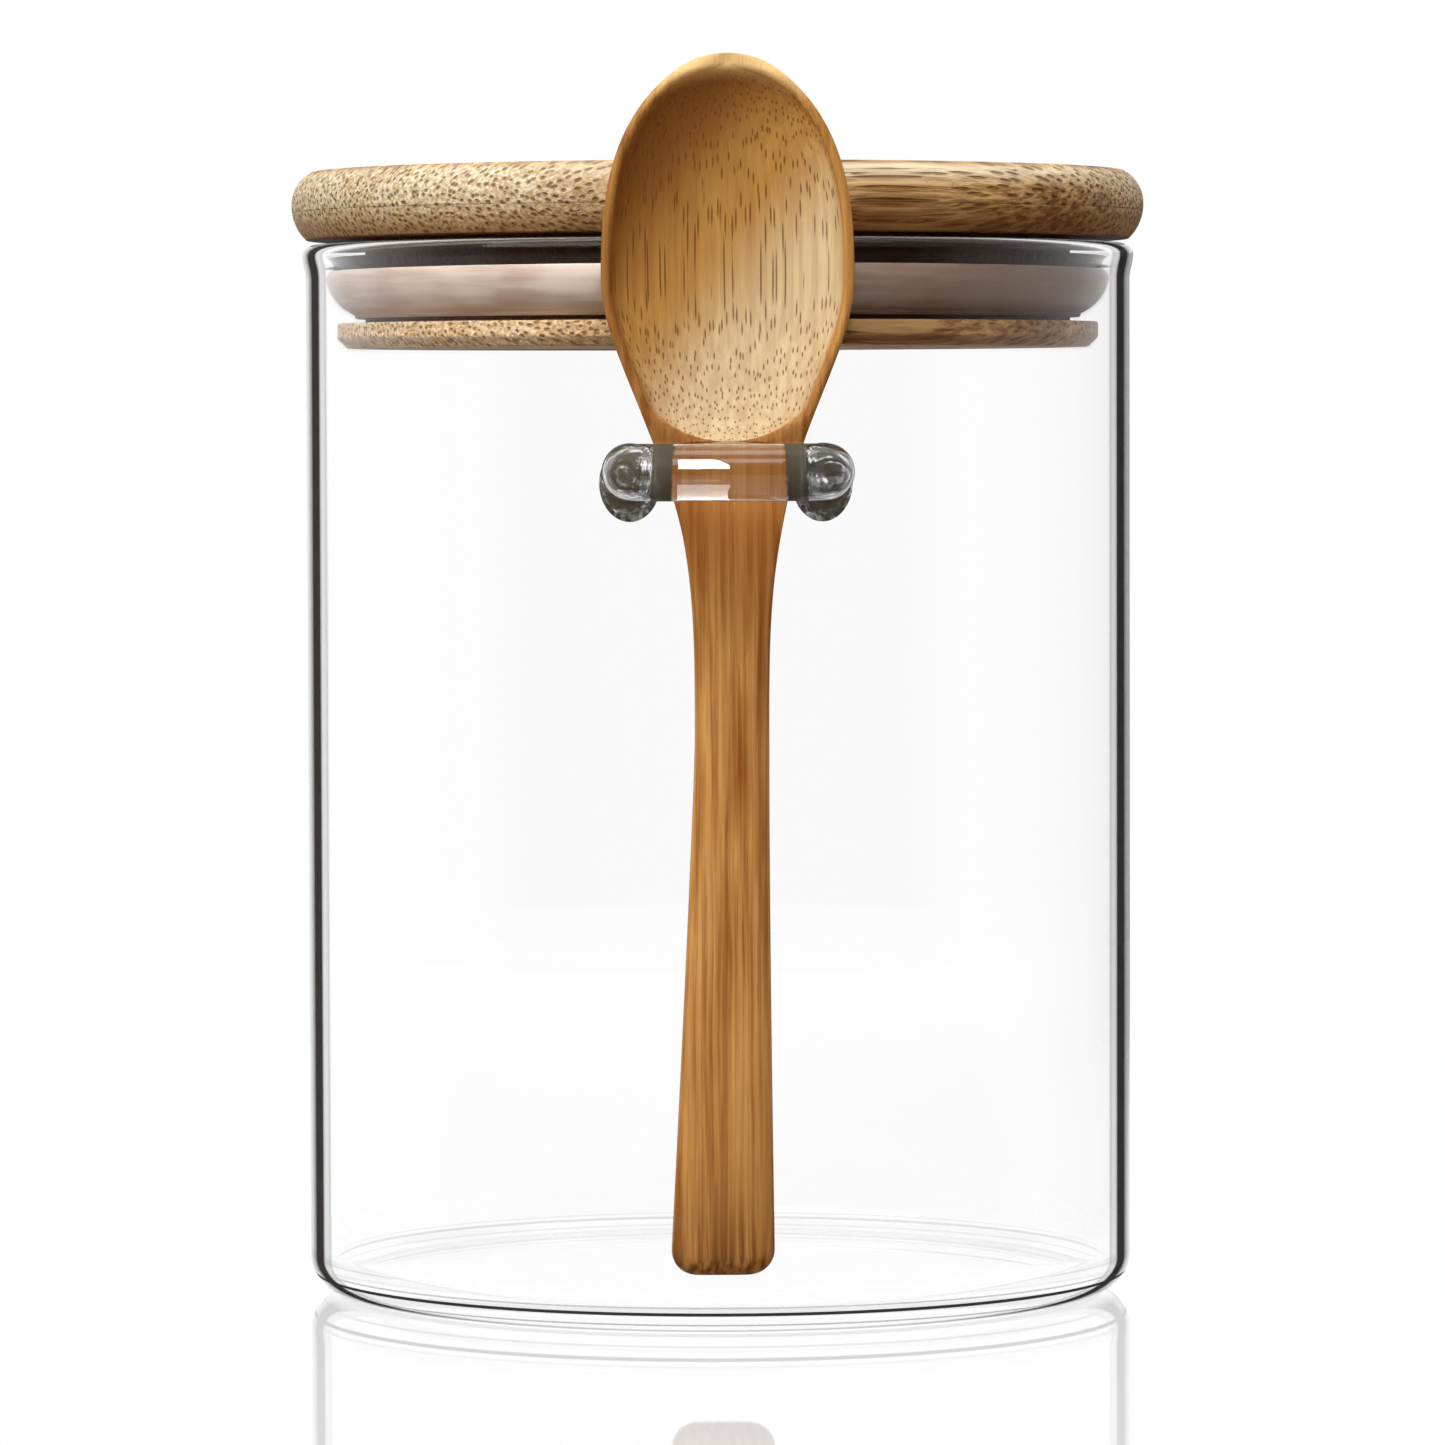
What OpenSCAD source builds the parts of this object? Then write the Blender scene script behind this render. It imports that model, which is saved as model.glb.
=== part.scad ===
// Glass food canister with a push-in bamboo lid, a silicone seal and a spoon in a glass loop.
// Millimetres. Origin at the centre of the base, +Z up, the spoon on the -Y side.

/* [Jar] */
// Outside diameter of the straight wall
jar_d = 100; // [80:0.5:125]
// Height of the rim above the table
jar_h = 127; // [100:0.5:160]
// Thickness of the wall
wall_t = 2.3; // [1.8:0.1:3.2]
// Thickness of the floor
floor_t = 2.2; // [1.5:0.1:4]
// Radius of the rounded corner between wall and base, outside
base_round = 4.5; // [3:0.1:8]
// Radius of the corner between wall and floor, inside
floor_round = 3.5; // [2:0.1:6]
// How far the melted rim stands out from the wall
rim_bulge = 0.45; // [0.1:0.05:1]
// Height over which the melted rim runs out into the wall
rim_run = 4.2; // [3:0.1:8]

/* [Lid] */
// How far the lid's disc stands out past the wall
lid_overhang = 1.7; // [0.5:0.1:5]
// Thickness of the disc's upper board
top_board_t = 4.9; // [4:0.1:8]
// Thickness of the disc's lower board
lower_board_t = 3.3; // [2.6:0.1:5]
// Radius of the disc's upper edge
top_round = 4.4; // [1:0.1:5]
// Radius of the undercut on the disc's lower edge
under_round = 5.8; // [5:0.1:9]
// Height of the disc's widest place above its lower face
widest_at = 4.2; // [3.5:0.1:4.6]
// Gap between the rim and the disc, which the seal leaves
rim_gap = 0.6; // [0.2:0.1:2]
// Height of the plug's core, from the flange to the disc
core_h = 10.1; // [9:0.1:14]
// Depth of the groove that the core leaves for the seal
groove_depth = 3.4; // [2.5:0.1:5]
// Thickness of the flange that keeps the seal on the plug
flange_t = 3; // [2:0.1:6]
// Gap between the flange and the glass
flange_gap = 1.5; // [1:0.1:3]
// Chamfer on the flange's lower edge
flange_chamfer = 1.2; // [0.4:0.1:1.8]

/* [Seal] */
// Thickness of the silicone
seal_t = 1.2; // [0.8:0.1:1.6]
// Radius of the curve that carries the lip out to the glass
lip_round = 5.6; // [5:0.1:6.5]
// Straight height at the top of the lip
lip_straight = 0.5; // [0.2:0.1:2]
// Height of the ring's inner band
band_h = 5.2; // [3:0.1:6]
// Clearance under the ring, on top of the flange
seal_lift = 0.6; // [0.2:0.1:1.5]
// Running clearance between the core and the ring
core_play = 0.05; // [0.02:0.01:0.1]
// Running clearance between the lip and the glass
lip_play = 0.1; // [0.05:0.01:0.1]

/* [Spoon loop] */
// Diameter of the glass rod
rod_d = 6.5; // [4:0.1:9]
// Clear width inside the loop
loop_w = 15.7; // [13.4:0.1:22]
// Depth of the rod's centre below the rim
loop_drop = 27; // [18:0.5:45]
// Radius of the bends, on the rod's centre line
bend_r = 5; // [4.6:0.1:8]
// How much wider than the rod each fused foot is
foot_flare = 1.2; // [0.4:0.1:2]
// Thickness of the foot's rim on the wall
foot_edge = 0.4; // [0.2:0.1:1]
// How far each foot has sagged below the rod
foot_sag = 1.4; // [0:0.1:1.5]
// Space between the spoon and the front of the loop
bar_gap = 2; // [1:0.1:6]

/* [Spoon] */
// Width of the bowl
bowl_w = 28.8; // [24:0.1:36]
// Distance from the tip to the bowl's widest place
wide_at = 25.6; // [20:0.1:32]
// Distance from the tip to the narrowest place of the neck
neck_at = 78.5; // [66:0.5:84]
// Width of the neck
neck_w = 8.5; // [6:0.1:10]
// Width of the handle's end
end_w = 12; // [9:0.1:12.4]
// Radius of the corners on the handle's end
end_round = 3; // [1:0.1:4]
// Thickness of the handle
handle_t = 4.5; // [3:0.1:6]
// Setback of the handle's face behind the bowl's rim
handle_step = 0.5; // [0:0.1:1.5]
// Depth of the bowl from its rim to its back
bowl_depth = 8.5; // [7:0.1:10.5]
// Depth of the hollow
hollow_depth = 5.9; // [4.8:0.1:6.2]
// Width of the bowl's flat rim
rim_w = 1.15; // [0.8:0.05:2]
// Distance from the tip to the lower end of the hollow
hollow_end = 44; // [38:0.1:46]
// Gap between the bowl's back and the lid
lid_gap = 1.8; // [1:0.1:4]
// Gap at which the bowl's flanks hang on the loop
seat_gap = 0.15; // [0.1:0.05:0.5]
// Height of the handle's end above the table
end_height = 8.3; // [4:0.1:20]
// Sideways drift of the neck, to the right
neck_drift = 0.4; // [0:0.1:0.6]
// Sideways drift of the handle's end, to the left
end_drift = 0.85; // [0:0.05:1]

/* [Hidden] */
$fn = 128;

bamboo_light = [0.80, 0.66, 0.44];
bamboo_mid = [0.72, 0.55, 0.33];
bamboo_dark = [0.64, 0.44, 0.24];
clear_glass = [0.82, 0.88, 0.88, 0.35];
milky_silicone = [0.70, 0.62, 0.56];

// Jar
jar_r = jar_d / 2;
mouth_r = jar_r - wall_t;
bead_r = (wall_t + rim_bulge) / 2;
bead_x = mouth_r + bead_r;
bead_z = jar_h - bead_r;

// Lid, from the rim up, and the plug, from the disc down
disc_z = jar_h + rim_gap;
lid_r = jar_r + lid_overhang;
widest_z = disc_z + widest_at;
board_z = disc_z + lower_board_t;
lid_top_z = board_z + top_board_t;
flange_r = mouth_r - flange_gap;
core_r = flange_r - groove_depth;
flange_top_z = disc_z - core_h;
flange_z = flange_top_z - flange_t;

// Seal
seal_z = flange_top_z + seal_lift;
band_r = core_r + core_play;
lip_r = mouth_r - lip_play;
lip_x = lip_r - lip_round;
lip_z = seal_z + lip_round;

// Loop and spoon, from the lid's edge out to the front
rod_r = rod_d / 2;
loop_z = jar_h - loop_drop;
leg_x = loop_w / 2 + rod_r;
rim_y = -(lid_r + lid_gap + bowl_depth);
bar_y = rim_y - bar_gap - rod_r;
handle_y = rim_y + handle_step + handle_t / 2;
foot_r = rod_r + foot_flare;
foot_turn = asin(leg_x / jar_r);

// How fast the spoon's outline swells from its tip, tapers to its neck and flares to its end
tip_power = 2.67;
tip_root = 1.79;
taper_power = 1.85;
flare_power = 1.2;

// How fast the hollow deepens from its edges, above and below the bowl's widest place
hollow_start = 1.6;
hollow_power = 2.1;
hollow_root_up = 1.8;
hollow_root_down = 1.3;

// How the hollow's outline closes at its lower end, and its least share of the width
outline_power = 3;
outline_root = 2;
outline_min = 0.05;
face_share = 0.9;

// How the back swells from the tip, and how square the handle's section is
tip_t = 1.4;
back_power = 2.2;
back_root = 1.7;
flat_power = 3.4;
// Distance above the neck at which the section has become the handle's
handle_lead = 16;
// Share of the handle's thickness that is left at its very end
end_thin = 0.35;

// Where the spoon's centre line starts to drift, and over what length
drift_from = 42;
drift_run = 14;

// The spoon's mesh: points in a ring, and rings in the bowl's top, its taper, the handle, its end
ring_points = 40;
tip_rings = 12;
taper_rings = 14;
handle_rings = 6;
end_rings = 5;
tip_cut = 0.12;
end_sweep = 80;

// Steps of the search for the height at which the spoon hangs
hang_step = 0.25;
hang_tries = 16;

// Least straight height on the disc's edge, and how far a foot is sunk before the wall's cut
edge_min = 0.1;
foot_sink = 1;

// Eases from 0 to 1 while t goes from 0 to 1
function ease(t) = let (u = max(0, min(1, t))) u * u * (3 - 2 * u);

// Falls from 1 to 0 while t goes from 0 to 1, as the edge of a dome does
function dome(t, power, root) = pow(max(0, 1 - pow(max(0, min(1, t)), power)), 1 / root);

function mix(a, b, t) = a + (b - a) * t;

// Half the spoon's width at distance s below its tip: bowl, tapering flank and flared handle
function bowl_half(s) = bowl_w / 2 * dome((wide_at - s) / wide_at, tip_power, tip_root);
function flank_half(s) =
    mix(neck_w, bowl_w, ease(pow((neck_at - s) / (neck_at - wide_at), taper_power))) / 2;
function handle_half(s) =
    mix(neck_w, end_w, pow((s - neck_at) / (spoon_len - neck_at), flare_power)) / 2;
function corner_cut(s) = let (d = max(0, s - (spoon_len - end_round)))
    end_round - sqrt(max(0, end_round * end_round - d * d));
function half_width(s) =
    s < wide_at ? bowl_half(s) : s < neck_at ? flank_half(s) : handle_half(s) - corner_cut(s);

// Sideways drift of the spoon's centre line, first of its flanks and then of its handle
function flank_drift(s) = neck_drift * ease((s - drift_from) / drift_run);
function drift(s) = flank_drift(s)
    - (neck_drift + end_drift) * max(0, s - neck_at) / (spoon_len - neck_at);

// The spoon hangs where its flanks come within seat_gap of the loop's legs
function edge_gap(s, tip, side) =
    norm([side * (leg_x - flank_half(s)) - flank_drift(s), loop_z - tip + s]) - rod_r;
function hang_gap(tip) = min([
    for (s = [wide_at:hang_step:neck_at], side = [-1, 1]) edge_gap(s, tip, side)
]);
function hang_height(low, high, tries) = let (middle = (low + high) / 2)
    tries == 0 ? high
    : hang_gap(middle) < seat_gap ? hang_height(middle, high, tries - 1)
    : hang_height(low, middle, tries - 1);
tip_z = hang_height(loop_z + wide_at, loop_z + neck_at, hang_tries);
spoon_len = tip_z - end_height;

// Depth of the hollow, and half its width, at distance s
function hollow_way(s) =
    s < wide_at ? (wide_at - s) / (wide_at - hollow_start)
    : (s - wide_at) / (hollow_end - wide_at);
function hollow(s) = hollow_depth
    * dome(hollow_way(s), hollow_power, s < wide_at ? hollow_root_up : hollow_root_down);
function hollow_outline(s, power, root) =
    (bowl_w / 2 - rim_w) * max(outline_min, dome(hollow_way(s), power, root));
function hollow_half(s, w) =
    s > hollow_end ? w * face_share
    : s > wide_at ? min(w - rim_w, hollow_outline(s, outline_power, outline_root))
    : min(max(w * face_share, w - rim_w), hollow_outline(s, tip_power, outline_root));

// Depth of the spoon's back behind its edge line, and of its face in front of that line
function handle_share(s) = ease((s - wide_at) / (neck_at - handle_lead - wide_at));
function back(s) =
    s < wide_at ? mix(tip_t, bowl_depth, dome((wide_at - s) / wide_at, back_power, back_root))
    : mix(bowl_depth, handle_t / 2, handle_share(s));
function crown(s) = handle_t / 2 * ease((s - hollow_end) / (neck_at - hollow_end));
function edge_y(s) = mix(rim_y, handle_y, ease((s - hollow_end) / (neck_at - hollow_end)));

// Rounds the handle's end in its thickness too
function end_share(s) = let (d = max(0, s - (spoon_len - handle_t / 2)) / (handle_t / 2))
    max(end_thin, sqrt(max(0, 1 - d * d)));

// One closed ring of points: over the back from right to left, then along the face
function squared(v, power) = sign(v) * pow(abs(v), 2 / power);
function spoon_ring(s) =
    let (
        w = half_width(s),
        hw = hollow_half(s, w),
        thin = end_share(s),
        back_d = back(s) * thin,
        face_d = s < hollow_end ? -hollow(s) : crown(s) * thin,
        power = mix(2, flat_power, handle_share(s)),
        half_ring = ring_points / 2,
        x0 = drift(s),
        y0 = edge_y(s),
        z0 = tip_z - s
    )
    [
        for (i = [0:half_ring]) let (a = 180 * i / half_ring)
            [x0 + w * squared(cos(a), power), y0 + back_d * squared(sin(a), power), z0],
        for (i = [0:half_ring - 1]) let (a = 180 * (1 - (i + 0.5) / half_ring))
            [x0 + mix(hw, w, handle_share(s)) * squared(cos(a), power),
             y0 - face_d * squared(sin(a), power), z0]
    ];

// Distances of the rings from the tip, close together at both ends
function spoon_stations() = concat(
    [for (i = [0:tip_rings - 1]) mix(tip_cut, wide_at, 1 - cos(90 * i / tip_rings))],
    [for (i = [0:taper_rings - 1]) mix(wide_at, neck_at, i / taper_rings)],
    [for (i = [0:handle_rings - 1]) mix(neck_at, spoon_len - end_round, i / handle_rings)],
    [for (i = [0:end_rings]) spoon_len - end_round * (1 - sin(end_sweep * i / end_rings))]
);

module arc_ring(r, t) {
    difference() {
        circle(r);
        circle(r - t);
    }
}

// Glass wall, floor and melted rim, half of the section on the right of the axis
module jar_section() {
    difference() {
        union() {
            square([jar_r - base_round, bead_z]);
            translate([0, base_round]) square([jar_r, jar_h - rim_run - base_round]);
            translate([jar_r - base_round, base_round]) circle(base_round);
            polygon([
                [0, bead_z], [0, jar_h - rim_run], [jar_r, jar_h - rim_run],
                [bead_x + bead_r, bead_z]
            ]);
            translate([bead_x, bead_z]) circle(bead_r);
        }
        translate([0, floor_t]) square([mouth_r - floor_round, jar_h]);
        translate([0, floor_t + floor_round]) square([mouth_r, bead_z - floor_t - floor_round]);
        translate([mouth_r - floor_round, floor_t + floor_round]) circle(floor_round);
    }
}

module jar_body() {
    color(clear_glass) rotate_extrude() jar_section();
}

// A leg runs from its bend back into the wall
module loop_leg() {
    translate([leg_x, bar_y + bend_r, loop_z])
        rotate([-90, 0, 0]) cylinder(r = rod_r, h = -bar_y - bend_r - mouth_r);
}

// The foot flares out on the wall, square to it
module loop_foot() {
    reach = foot_flare + foot_edge;
    translate([leg_x, -jar_r * cos(foot_turn), loop_z - foot_sag])
        rotate([0, 0, foot_turn]) rotate([-90, 0, 0]) rotate_extrude() difference() {
            translate([0, -reach]) square([foot_r, reach + foot_sink]);
            translate([foot_r, -reach]) circle(foot_flare);
        }
}

module loop_bend() {
    translate([leg_x - bend_r, bar_y + bend_r, loop_z])
        rotate([0, 0, -90]) rotate_extrude(angle = 90) translate([bend_r, 0]) circle(rod_r);
}

module spoon_loop() {
    color(clear_glass) difference() {
        union() {
            translate([bend_r - leg_x, bar_y, loop_z])
                rotate([0, 90, 0]) cylinder(r = rod_r, h = 2 * (leg_x - bend_r));
            for (side = [0, 1]) mirror([side, 0, 0]) {
                loop_bend();
                loop_leg();
                loop_foot();
            }
        }
        cylinder(r = jar_r, h = jar_h);
    }
}

// Whole disc of the lid, right half of its section; each board is a slice of it
module disc_section() {
    round_z = max(widest_z + edge_min, lid_top_z - top_round);
    intersection() {
        translate([0, widest_z]) square([lid_r, lid_top_z - widest_z]);
        union() {
            translate([0, widest_z]) square([lid_r - top_round, lid_top_z - widest_z]);
            translate([0, widest_z]) square([lid_r, round_z - widest_z]);
            translate([lid_r - top_round, round_z]) circle(top_round);
        }
    }
    intersection() {
        translate([0, disc_z]) square([lid_r, widest_z - disc_z]);
        union() {
            translate([0, disc_z]) square([lid_r - under_round, widest_z - disc_z]);
            translate([lid_r - under_round, widest_z]) circle(under_round);
        }
    }
}

module lid_board(z, t) {
    rotate_extrude() intersection() {
        disc_section();
        translate([0, z]) square([lid_r, t]);
    }
}

module lid_top_board() {
    color(bamboo_light) lid_board(board_z, top_board_t);
}

module lid_lower_board() {
    color(bamboo_mid) lid_board(disc_z, lower_board_t);
}

module plug_core() {
    color(bamboo_dark) translate([0, 0, flange_top_z]) cylinder(r = core_r, h = core_h);
}

module plug_flange() {
    color(bamboo_mid) {
        translate([0, 0, flange_z])
            cylinder(r1 = flange_r - flange_chamfer, r2 = flange_r, h = flange_chamfer);
        translate([0, 0, flange_z + flange_chamfer])
            cylinder(r = flange_r, h = flange_t - flange_chamfer);
    }
}

// Inner band round the core, and a lip that curves out and up to the glass
module seal_section() {
    translate([band_r, seal_z]) square([seal_t, band_h]);
    intersection() {
        translate([lip_x, lip_z]) arc_ring(lip_round, seal_t);
        translate([band_r, seal_z]) square([lip_r - band_r, lip_round]);
    }
    translate([lip_r - seal_t, lip_z]) square([seal_t, lip_straight]);
}

module seal_ring() {
    color(milky_silicone) rotate_extrude() seal_section();
}

module spoon() {
    rings = [for (s = spoon_stations()) spoon_ring(s)];
    count = len(rings[0]);
    last = (len(rings) - 1) * count;
    tip = len(rings) * count;
    tip_point = [drift(0), rim_y + tip_t / 2, tip_z];
    end_point = [drift(spoon_len), handle_y, end_height];
    sides = [
        for (j = [0:len(rings) - 2], i = [0:count - 1])
            let (a = j * count + i, b = j * count + (i + 1) % count)
            each [[a, b, b + count], [a, b + count, a + count]]
    ];
    tip_fan = [for (i = [0:count - 1]) [tip, (i + 1) % count, i]];
    end_fan = [for (i = [0:count - 1]) [tip + 1, last + i, last + (i + 1) % count]];
    color(bamboo_mid) polyhedron(
        [for (r = rings) each r, tip_point, end_point],
        concat(sides, tip_fan, end_fan)
    );
}

jar_body();
spoon_loop();
seal_ring();
plug_flange();
plug_core();
lid_lower_board();
lid_top_board();
spoon();
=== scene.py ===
"""Glass food canister: jar, push-in bamboo lid, silicone seal and a bamboo spoon in a glass loop.

Sizes in the classes are millimetres. Meshes are shaped in millimetres and scaled to metres when
they are finished. The origin is the centre of the jar's base, +Z is up and the spoon is at -Y.
"""

from __future__ import annotations

import functools
import logging
import math
from dataclasses import dataclass
from enum import Enum
from typing import Callable, Sequence, Union

import bmesh
import bpy
from bmesh.types import BMEdge, BMesh, BMVert
from bpy.types import Material, Node, NodeSocket, Object, World
from mathutils import Matrix, Quaternion, Vector

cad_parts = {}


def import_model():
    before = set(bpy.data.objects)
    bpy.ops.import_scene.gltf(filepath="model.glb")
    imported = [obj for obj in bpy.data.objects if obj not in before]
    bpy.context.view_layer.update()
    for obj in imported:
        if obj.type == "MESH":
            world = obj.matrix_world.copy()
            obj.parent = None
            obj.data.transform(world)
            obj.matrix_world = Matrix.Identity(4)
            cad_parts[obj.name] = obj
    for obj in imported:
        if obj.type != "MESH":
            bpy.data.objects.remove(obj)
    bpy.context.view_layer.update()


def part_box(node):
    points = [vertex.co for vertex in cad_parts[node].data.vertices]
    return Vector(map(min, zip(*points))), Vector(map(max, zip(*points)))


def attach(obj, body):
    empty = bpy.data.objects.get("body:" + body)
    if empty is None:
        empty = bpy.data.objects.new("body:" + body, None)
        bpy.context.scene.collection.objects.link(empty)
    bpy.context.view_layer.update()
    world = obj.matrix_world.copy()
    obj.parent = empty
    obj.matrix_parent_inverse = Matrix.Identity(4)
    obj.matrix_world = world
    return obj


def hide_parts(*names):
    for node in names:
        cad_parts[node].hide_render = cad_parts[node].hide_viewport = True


LOG = logging.getLogger("canister")
MM = 0.001
MERGE_MM = 1e-4
AROUND = 192
HOLD_MM = 0.35
SHARP_TURN = 0.4
SOFT_STEPS = 3

Colour = tuple[float, float, float]
Place = tuple[float, float, float]
Span = tuple[float, float]
Stops = tuple[tuple[float, float], ...]
Edges = list[BMEdge]
Operand = Union["Wire", float, Colour]

WHITE: Colour = (1.0, 1.0, 1.0)


def shade(red: int, green: int, blue: int) -> Colour:
    """Turns a colour as a screen shows it, 0 to 255, into the linear colour that shaders use.

    Args:
        red: Red, 0 to 255.
        green: Green, 0 to 255.
        blue: Blue, 0 to 255.

    Returns:
        The linear colour, 0 to 1.
    """
    def linear(value: int) -> float:
        """Returns one channel on the linear scale."""
        part = value / 255
        return part / 12.92 if part <= 0.04045 else ((part + 0.055) / 1.055) ** 2.4

    return linear(red), linear(green), linear(blue)


def mix(start: float, end: float, share: float) -> float:
    """Returns the number that lies share of the way from start to end."""
    return start + (end - start) * share


def ease(share: float) -> float:
    """Returns a slow-in, slow-out version of share, which runs from 0 to 1."""
    part = max(0.0, min(1.0, share))
    return part * part * (3 - 2 * part)


def dome(share: float, power: float, root: float) -> float:
    """Returns a height that falls from 1 to 0 as share goes from 0 to 1, as a dome's edge does."""
    part = max(0.0, min(1.0, share))
    return max(0.0, 1 - part ** power) ** (1 / root)


def squared(value: float, power: float) -> float:
    """Returns a sine or cosine bent towards a rounded square of the given power."""
    return math.copysign(abs(value) ** (2 / power), value)


# Shader writing


def operator(operation: str, flipped: bool = False) -> Callable[[Wire, Operand], Wire]:
    """Returns a method that joins a wire and another operand in one node.

    Args:
        operation: The node's operation.
        flipped: Whether the other operand is the left side.

    Returns:
        The method.
    """
    def method(wire: Wire, other: Operand) -> Wire:
        """Returns the wire that the node gives."""
        return wire.join(operation, *((other, wire) if flipped else (wire, other)))

    return method


@dataclass(frozen=True)
class Wire:
    """A value, colour or vector on its way through a shader, with arithmetic on it."""

    shader: Shader
    socket: NodeSocket

    def join(self, operation: str, *sides: Operand) -> Wire:
        """Adds one Math node, or a Vector Math node where a side is a vector or a colour.

        Args:
            operation: The node's operation.
            sides: What it works on, in order.

        Returns:
            The result.
        """
        wide = any(side.socket.type != "VALUE" if isinstance(side, Wire) else isinstance(side, tuple)
                   for side in sides)
        if wide:
            sides = [(side,) * 3 if isinstance(side, (int, float)) else side for side in sides]
        kind = "VectorMath" if wide else "Math"
        return self.shader.wire(kind, {"operation": operation}, dict(enumerate(sides)))

    __add__, __radd__ = operator("ADD"), operator("ADD", flipped=True)
    __sub__, __rsub__ = operator("SUBTRACT"), operator("SUBTRACT", flipped=True)
    __mul__, __rmul__ = operator("MULTIPLY"), operator("MULTIPLY", flipped=True)
    __truediv__, __rtruediv__ = operator("DIVIDE"), operator("DIVIDE", flipped=True)
    __pow__, __rpow__ = operator("POWER"), operator("POWER", flipped=True)
    at_most, at_least = operator("MINIMUM"), operator("MAXIMUM")

    def __abs__(self) -> Wire:
        """Returns this without its sign."""
        return self.join("ABSOLUTE", self)

    def parts(self) -> list[Wire]:
        """Returns the three parts of this vector."""
        node = self.shader.node("SeparateXYZ", None, {0: self})
        return [Wire(self.shader, output) for output in node.outputs]

    def length(self) -> Wire:
        """Returns the length of this vector."""
        return self.shader.wire("VectorMath", {"operation": "LENGTH"}, {0: self}, "Value")

    def step(self, start: float, end: float) -> Wire:
        """Returns 0 where this is at start, 1 where it is at end, and a soft step between.

        Args:
            start: The value that gives 0. It may be above end.
            end: The value that gives 1.

        Returns:
            The step, 0 to 1.
        """
        rise = self.shader.wire(
            "MapRange", {"interpolation_type": "SMOOTHSTEP"},
            {0: self, 1: min(start, end), 2: max(start, end), 3: 0.0, 4: 1.0},
        )
        return rise if start < end else 1 - rise

    def step_mm(self, start: float, end: float) -> Wire:
        """Returns the step between two places in millimetres."""
        return self.step(start * MM, end * MM)

    def past_mm(self, place: float, soft: float) -> Wire:
        """Returns 1 past a place in millimetres and 0 before it, or the reverse if soft < 0."""
        return self.step_mm(place - soft, place + soft)


class Shader:
    """The node tree of a material or a world, written from scratch."""

    def __init__(self, owner: Material | World) -> None:
        """Clears the owner's node tree and adds its output.

        Args:
            owner: What the shader is for.
        """
        owner.use_nodes = True
        self.tree = owner.node_tree
        self.tree.nodes.clear()
        kind = "World" if isinstance(owner, World) else "Material"
        self.output = self.node("Output" + kind)

    def node(self, kind: str, settings: dict[str, object] | None = None,
             sockets: dict[int | str, object] | None = None) -> Node:
        """Adds one node.

        Args:
            kind: The node's type, without the ShaderNode that they all start with.
            settings: Its settings by name. A ramp's "stops" are (place, brightness) pairs.
            sockets: What its inputs hold, by number or name: a wire, a node, or a plain value.

        Returns:
            The node.
        """
        made = self.tree.nodes.new("ShaderNode" + kind)
        for name, value in (settings or {}).items():
            if name != "stops":
                setattr(made, name, value)
                continue
            elements = made.color_ramp.elements
            for index, (place, share) in enumerate(value):
                element = elements[index] if index < 2 else elements.new(place)
                element.position, element.color = place, (share, share, share, 1.0)
        for key, value in (sockets or {}).items():
            target = made.inputs[key]
            if isinstance(value, Wire):
                self.tree.links.new(value.socket, target)
            elif isinstance(value, Node):
                self.tree.links.new(value.outputs[0], target)
            else:
                colour = target.type == "RGBA" and len(value) == 3
                target.default_value = (*value, 1.0) if colour else value
        return made

    def wire(self, kind: str, settings: dict | None = None, sockets: dict | None = None,
             output: int | str = 0) -> Wire:
        """Adds a node and returns one of its outputs, by number or name."""
        return Wire(self, self.node(kind, settings, sockets).outputs[output])

    def place(self) -> Wire:
        """Returns the place on the piece."""
        return self.wire("TexCoord", output="Object")

    def ray(self, fact: str) -> Wire:
        """Returns what the Light Path node says of the ray."""
        return self.wire("LightPath", output=fact)

    def noise(self, place: Wire, scale: float, detail: float) -> Wire:
        """Returns cloudy noise, with so many clouds in a metre and so many finer layers."""
        return self.wire("TexNoise", None, {"Vector": place, "Scale": scale, "Detail": detail})

    def ramp(self, value: Wire, stops: Stops) -> Wire:
        """Returns the share that a ramp's (place, share) stops give for a value."""
        made = self.node("ValToRGB", {"stops": stops}, {0: value})
        return self.wire("SeparateColor", None, {0: made})

    def blend(self, share: Operand, first: Operand, second: Operand) -> Wire:
        """Returns the first colour with a share of the second in it."""
        return self.wire("Mix", {"data_type": "RGBA"}, {0: share, 6: first, 7: second}, 2)

    def coats(self, ground: Operand, *coats: tuple[Wire, Operand]) -> Wire:
        """Returns the ground colour under coats, each a share and a colour, the last on top."""
        return functools.reduce(lambda under, coat: self.blend(coat[0], under, coat[1]), coats, ground)

    def bump(self, strength: float, depth_mm: float, height: Wire) -> Node:
        """Returns a bump in which a height of 1 is so many millimetres deep."""
        sockets = {"Strength": strength, "Distance": depth_mm * MM, "Height": height}
        return self.node("Bump", None, sockets)

    def layer(self, share: Wire, under: Node, over: Node) -> Node:
        """Returns one shader with a share of another laid over it."""
        return self.node("MixShader", None, {0: share, 1: under, 2: over})

    def finish(self, surface: Node) -> None:
        """Links the last shader to the output."""
        self.tree.links.new(surface.outputs[0], self.output.inputs["Surface"])


# Finishes


@dataclass(frozen=True)
class Finish:
    """A finish of a surface, which its surface method writes."""

    name: str

    def surface(self, ink: Shader) -> Node:
        """Returns the last shader of the finish, written in ink."""
        raise NotImplementedError(self.name)

    def make(self) -> Material:
        """Returns the finish as a material."""
        material = bpy.data.materials.new(self.name)
        ink = Shader(material)
        ink.finish(self.surface(ink))
        return material


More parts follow.
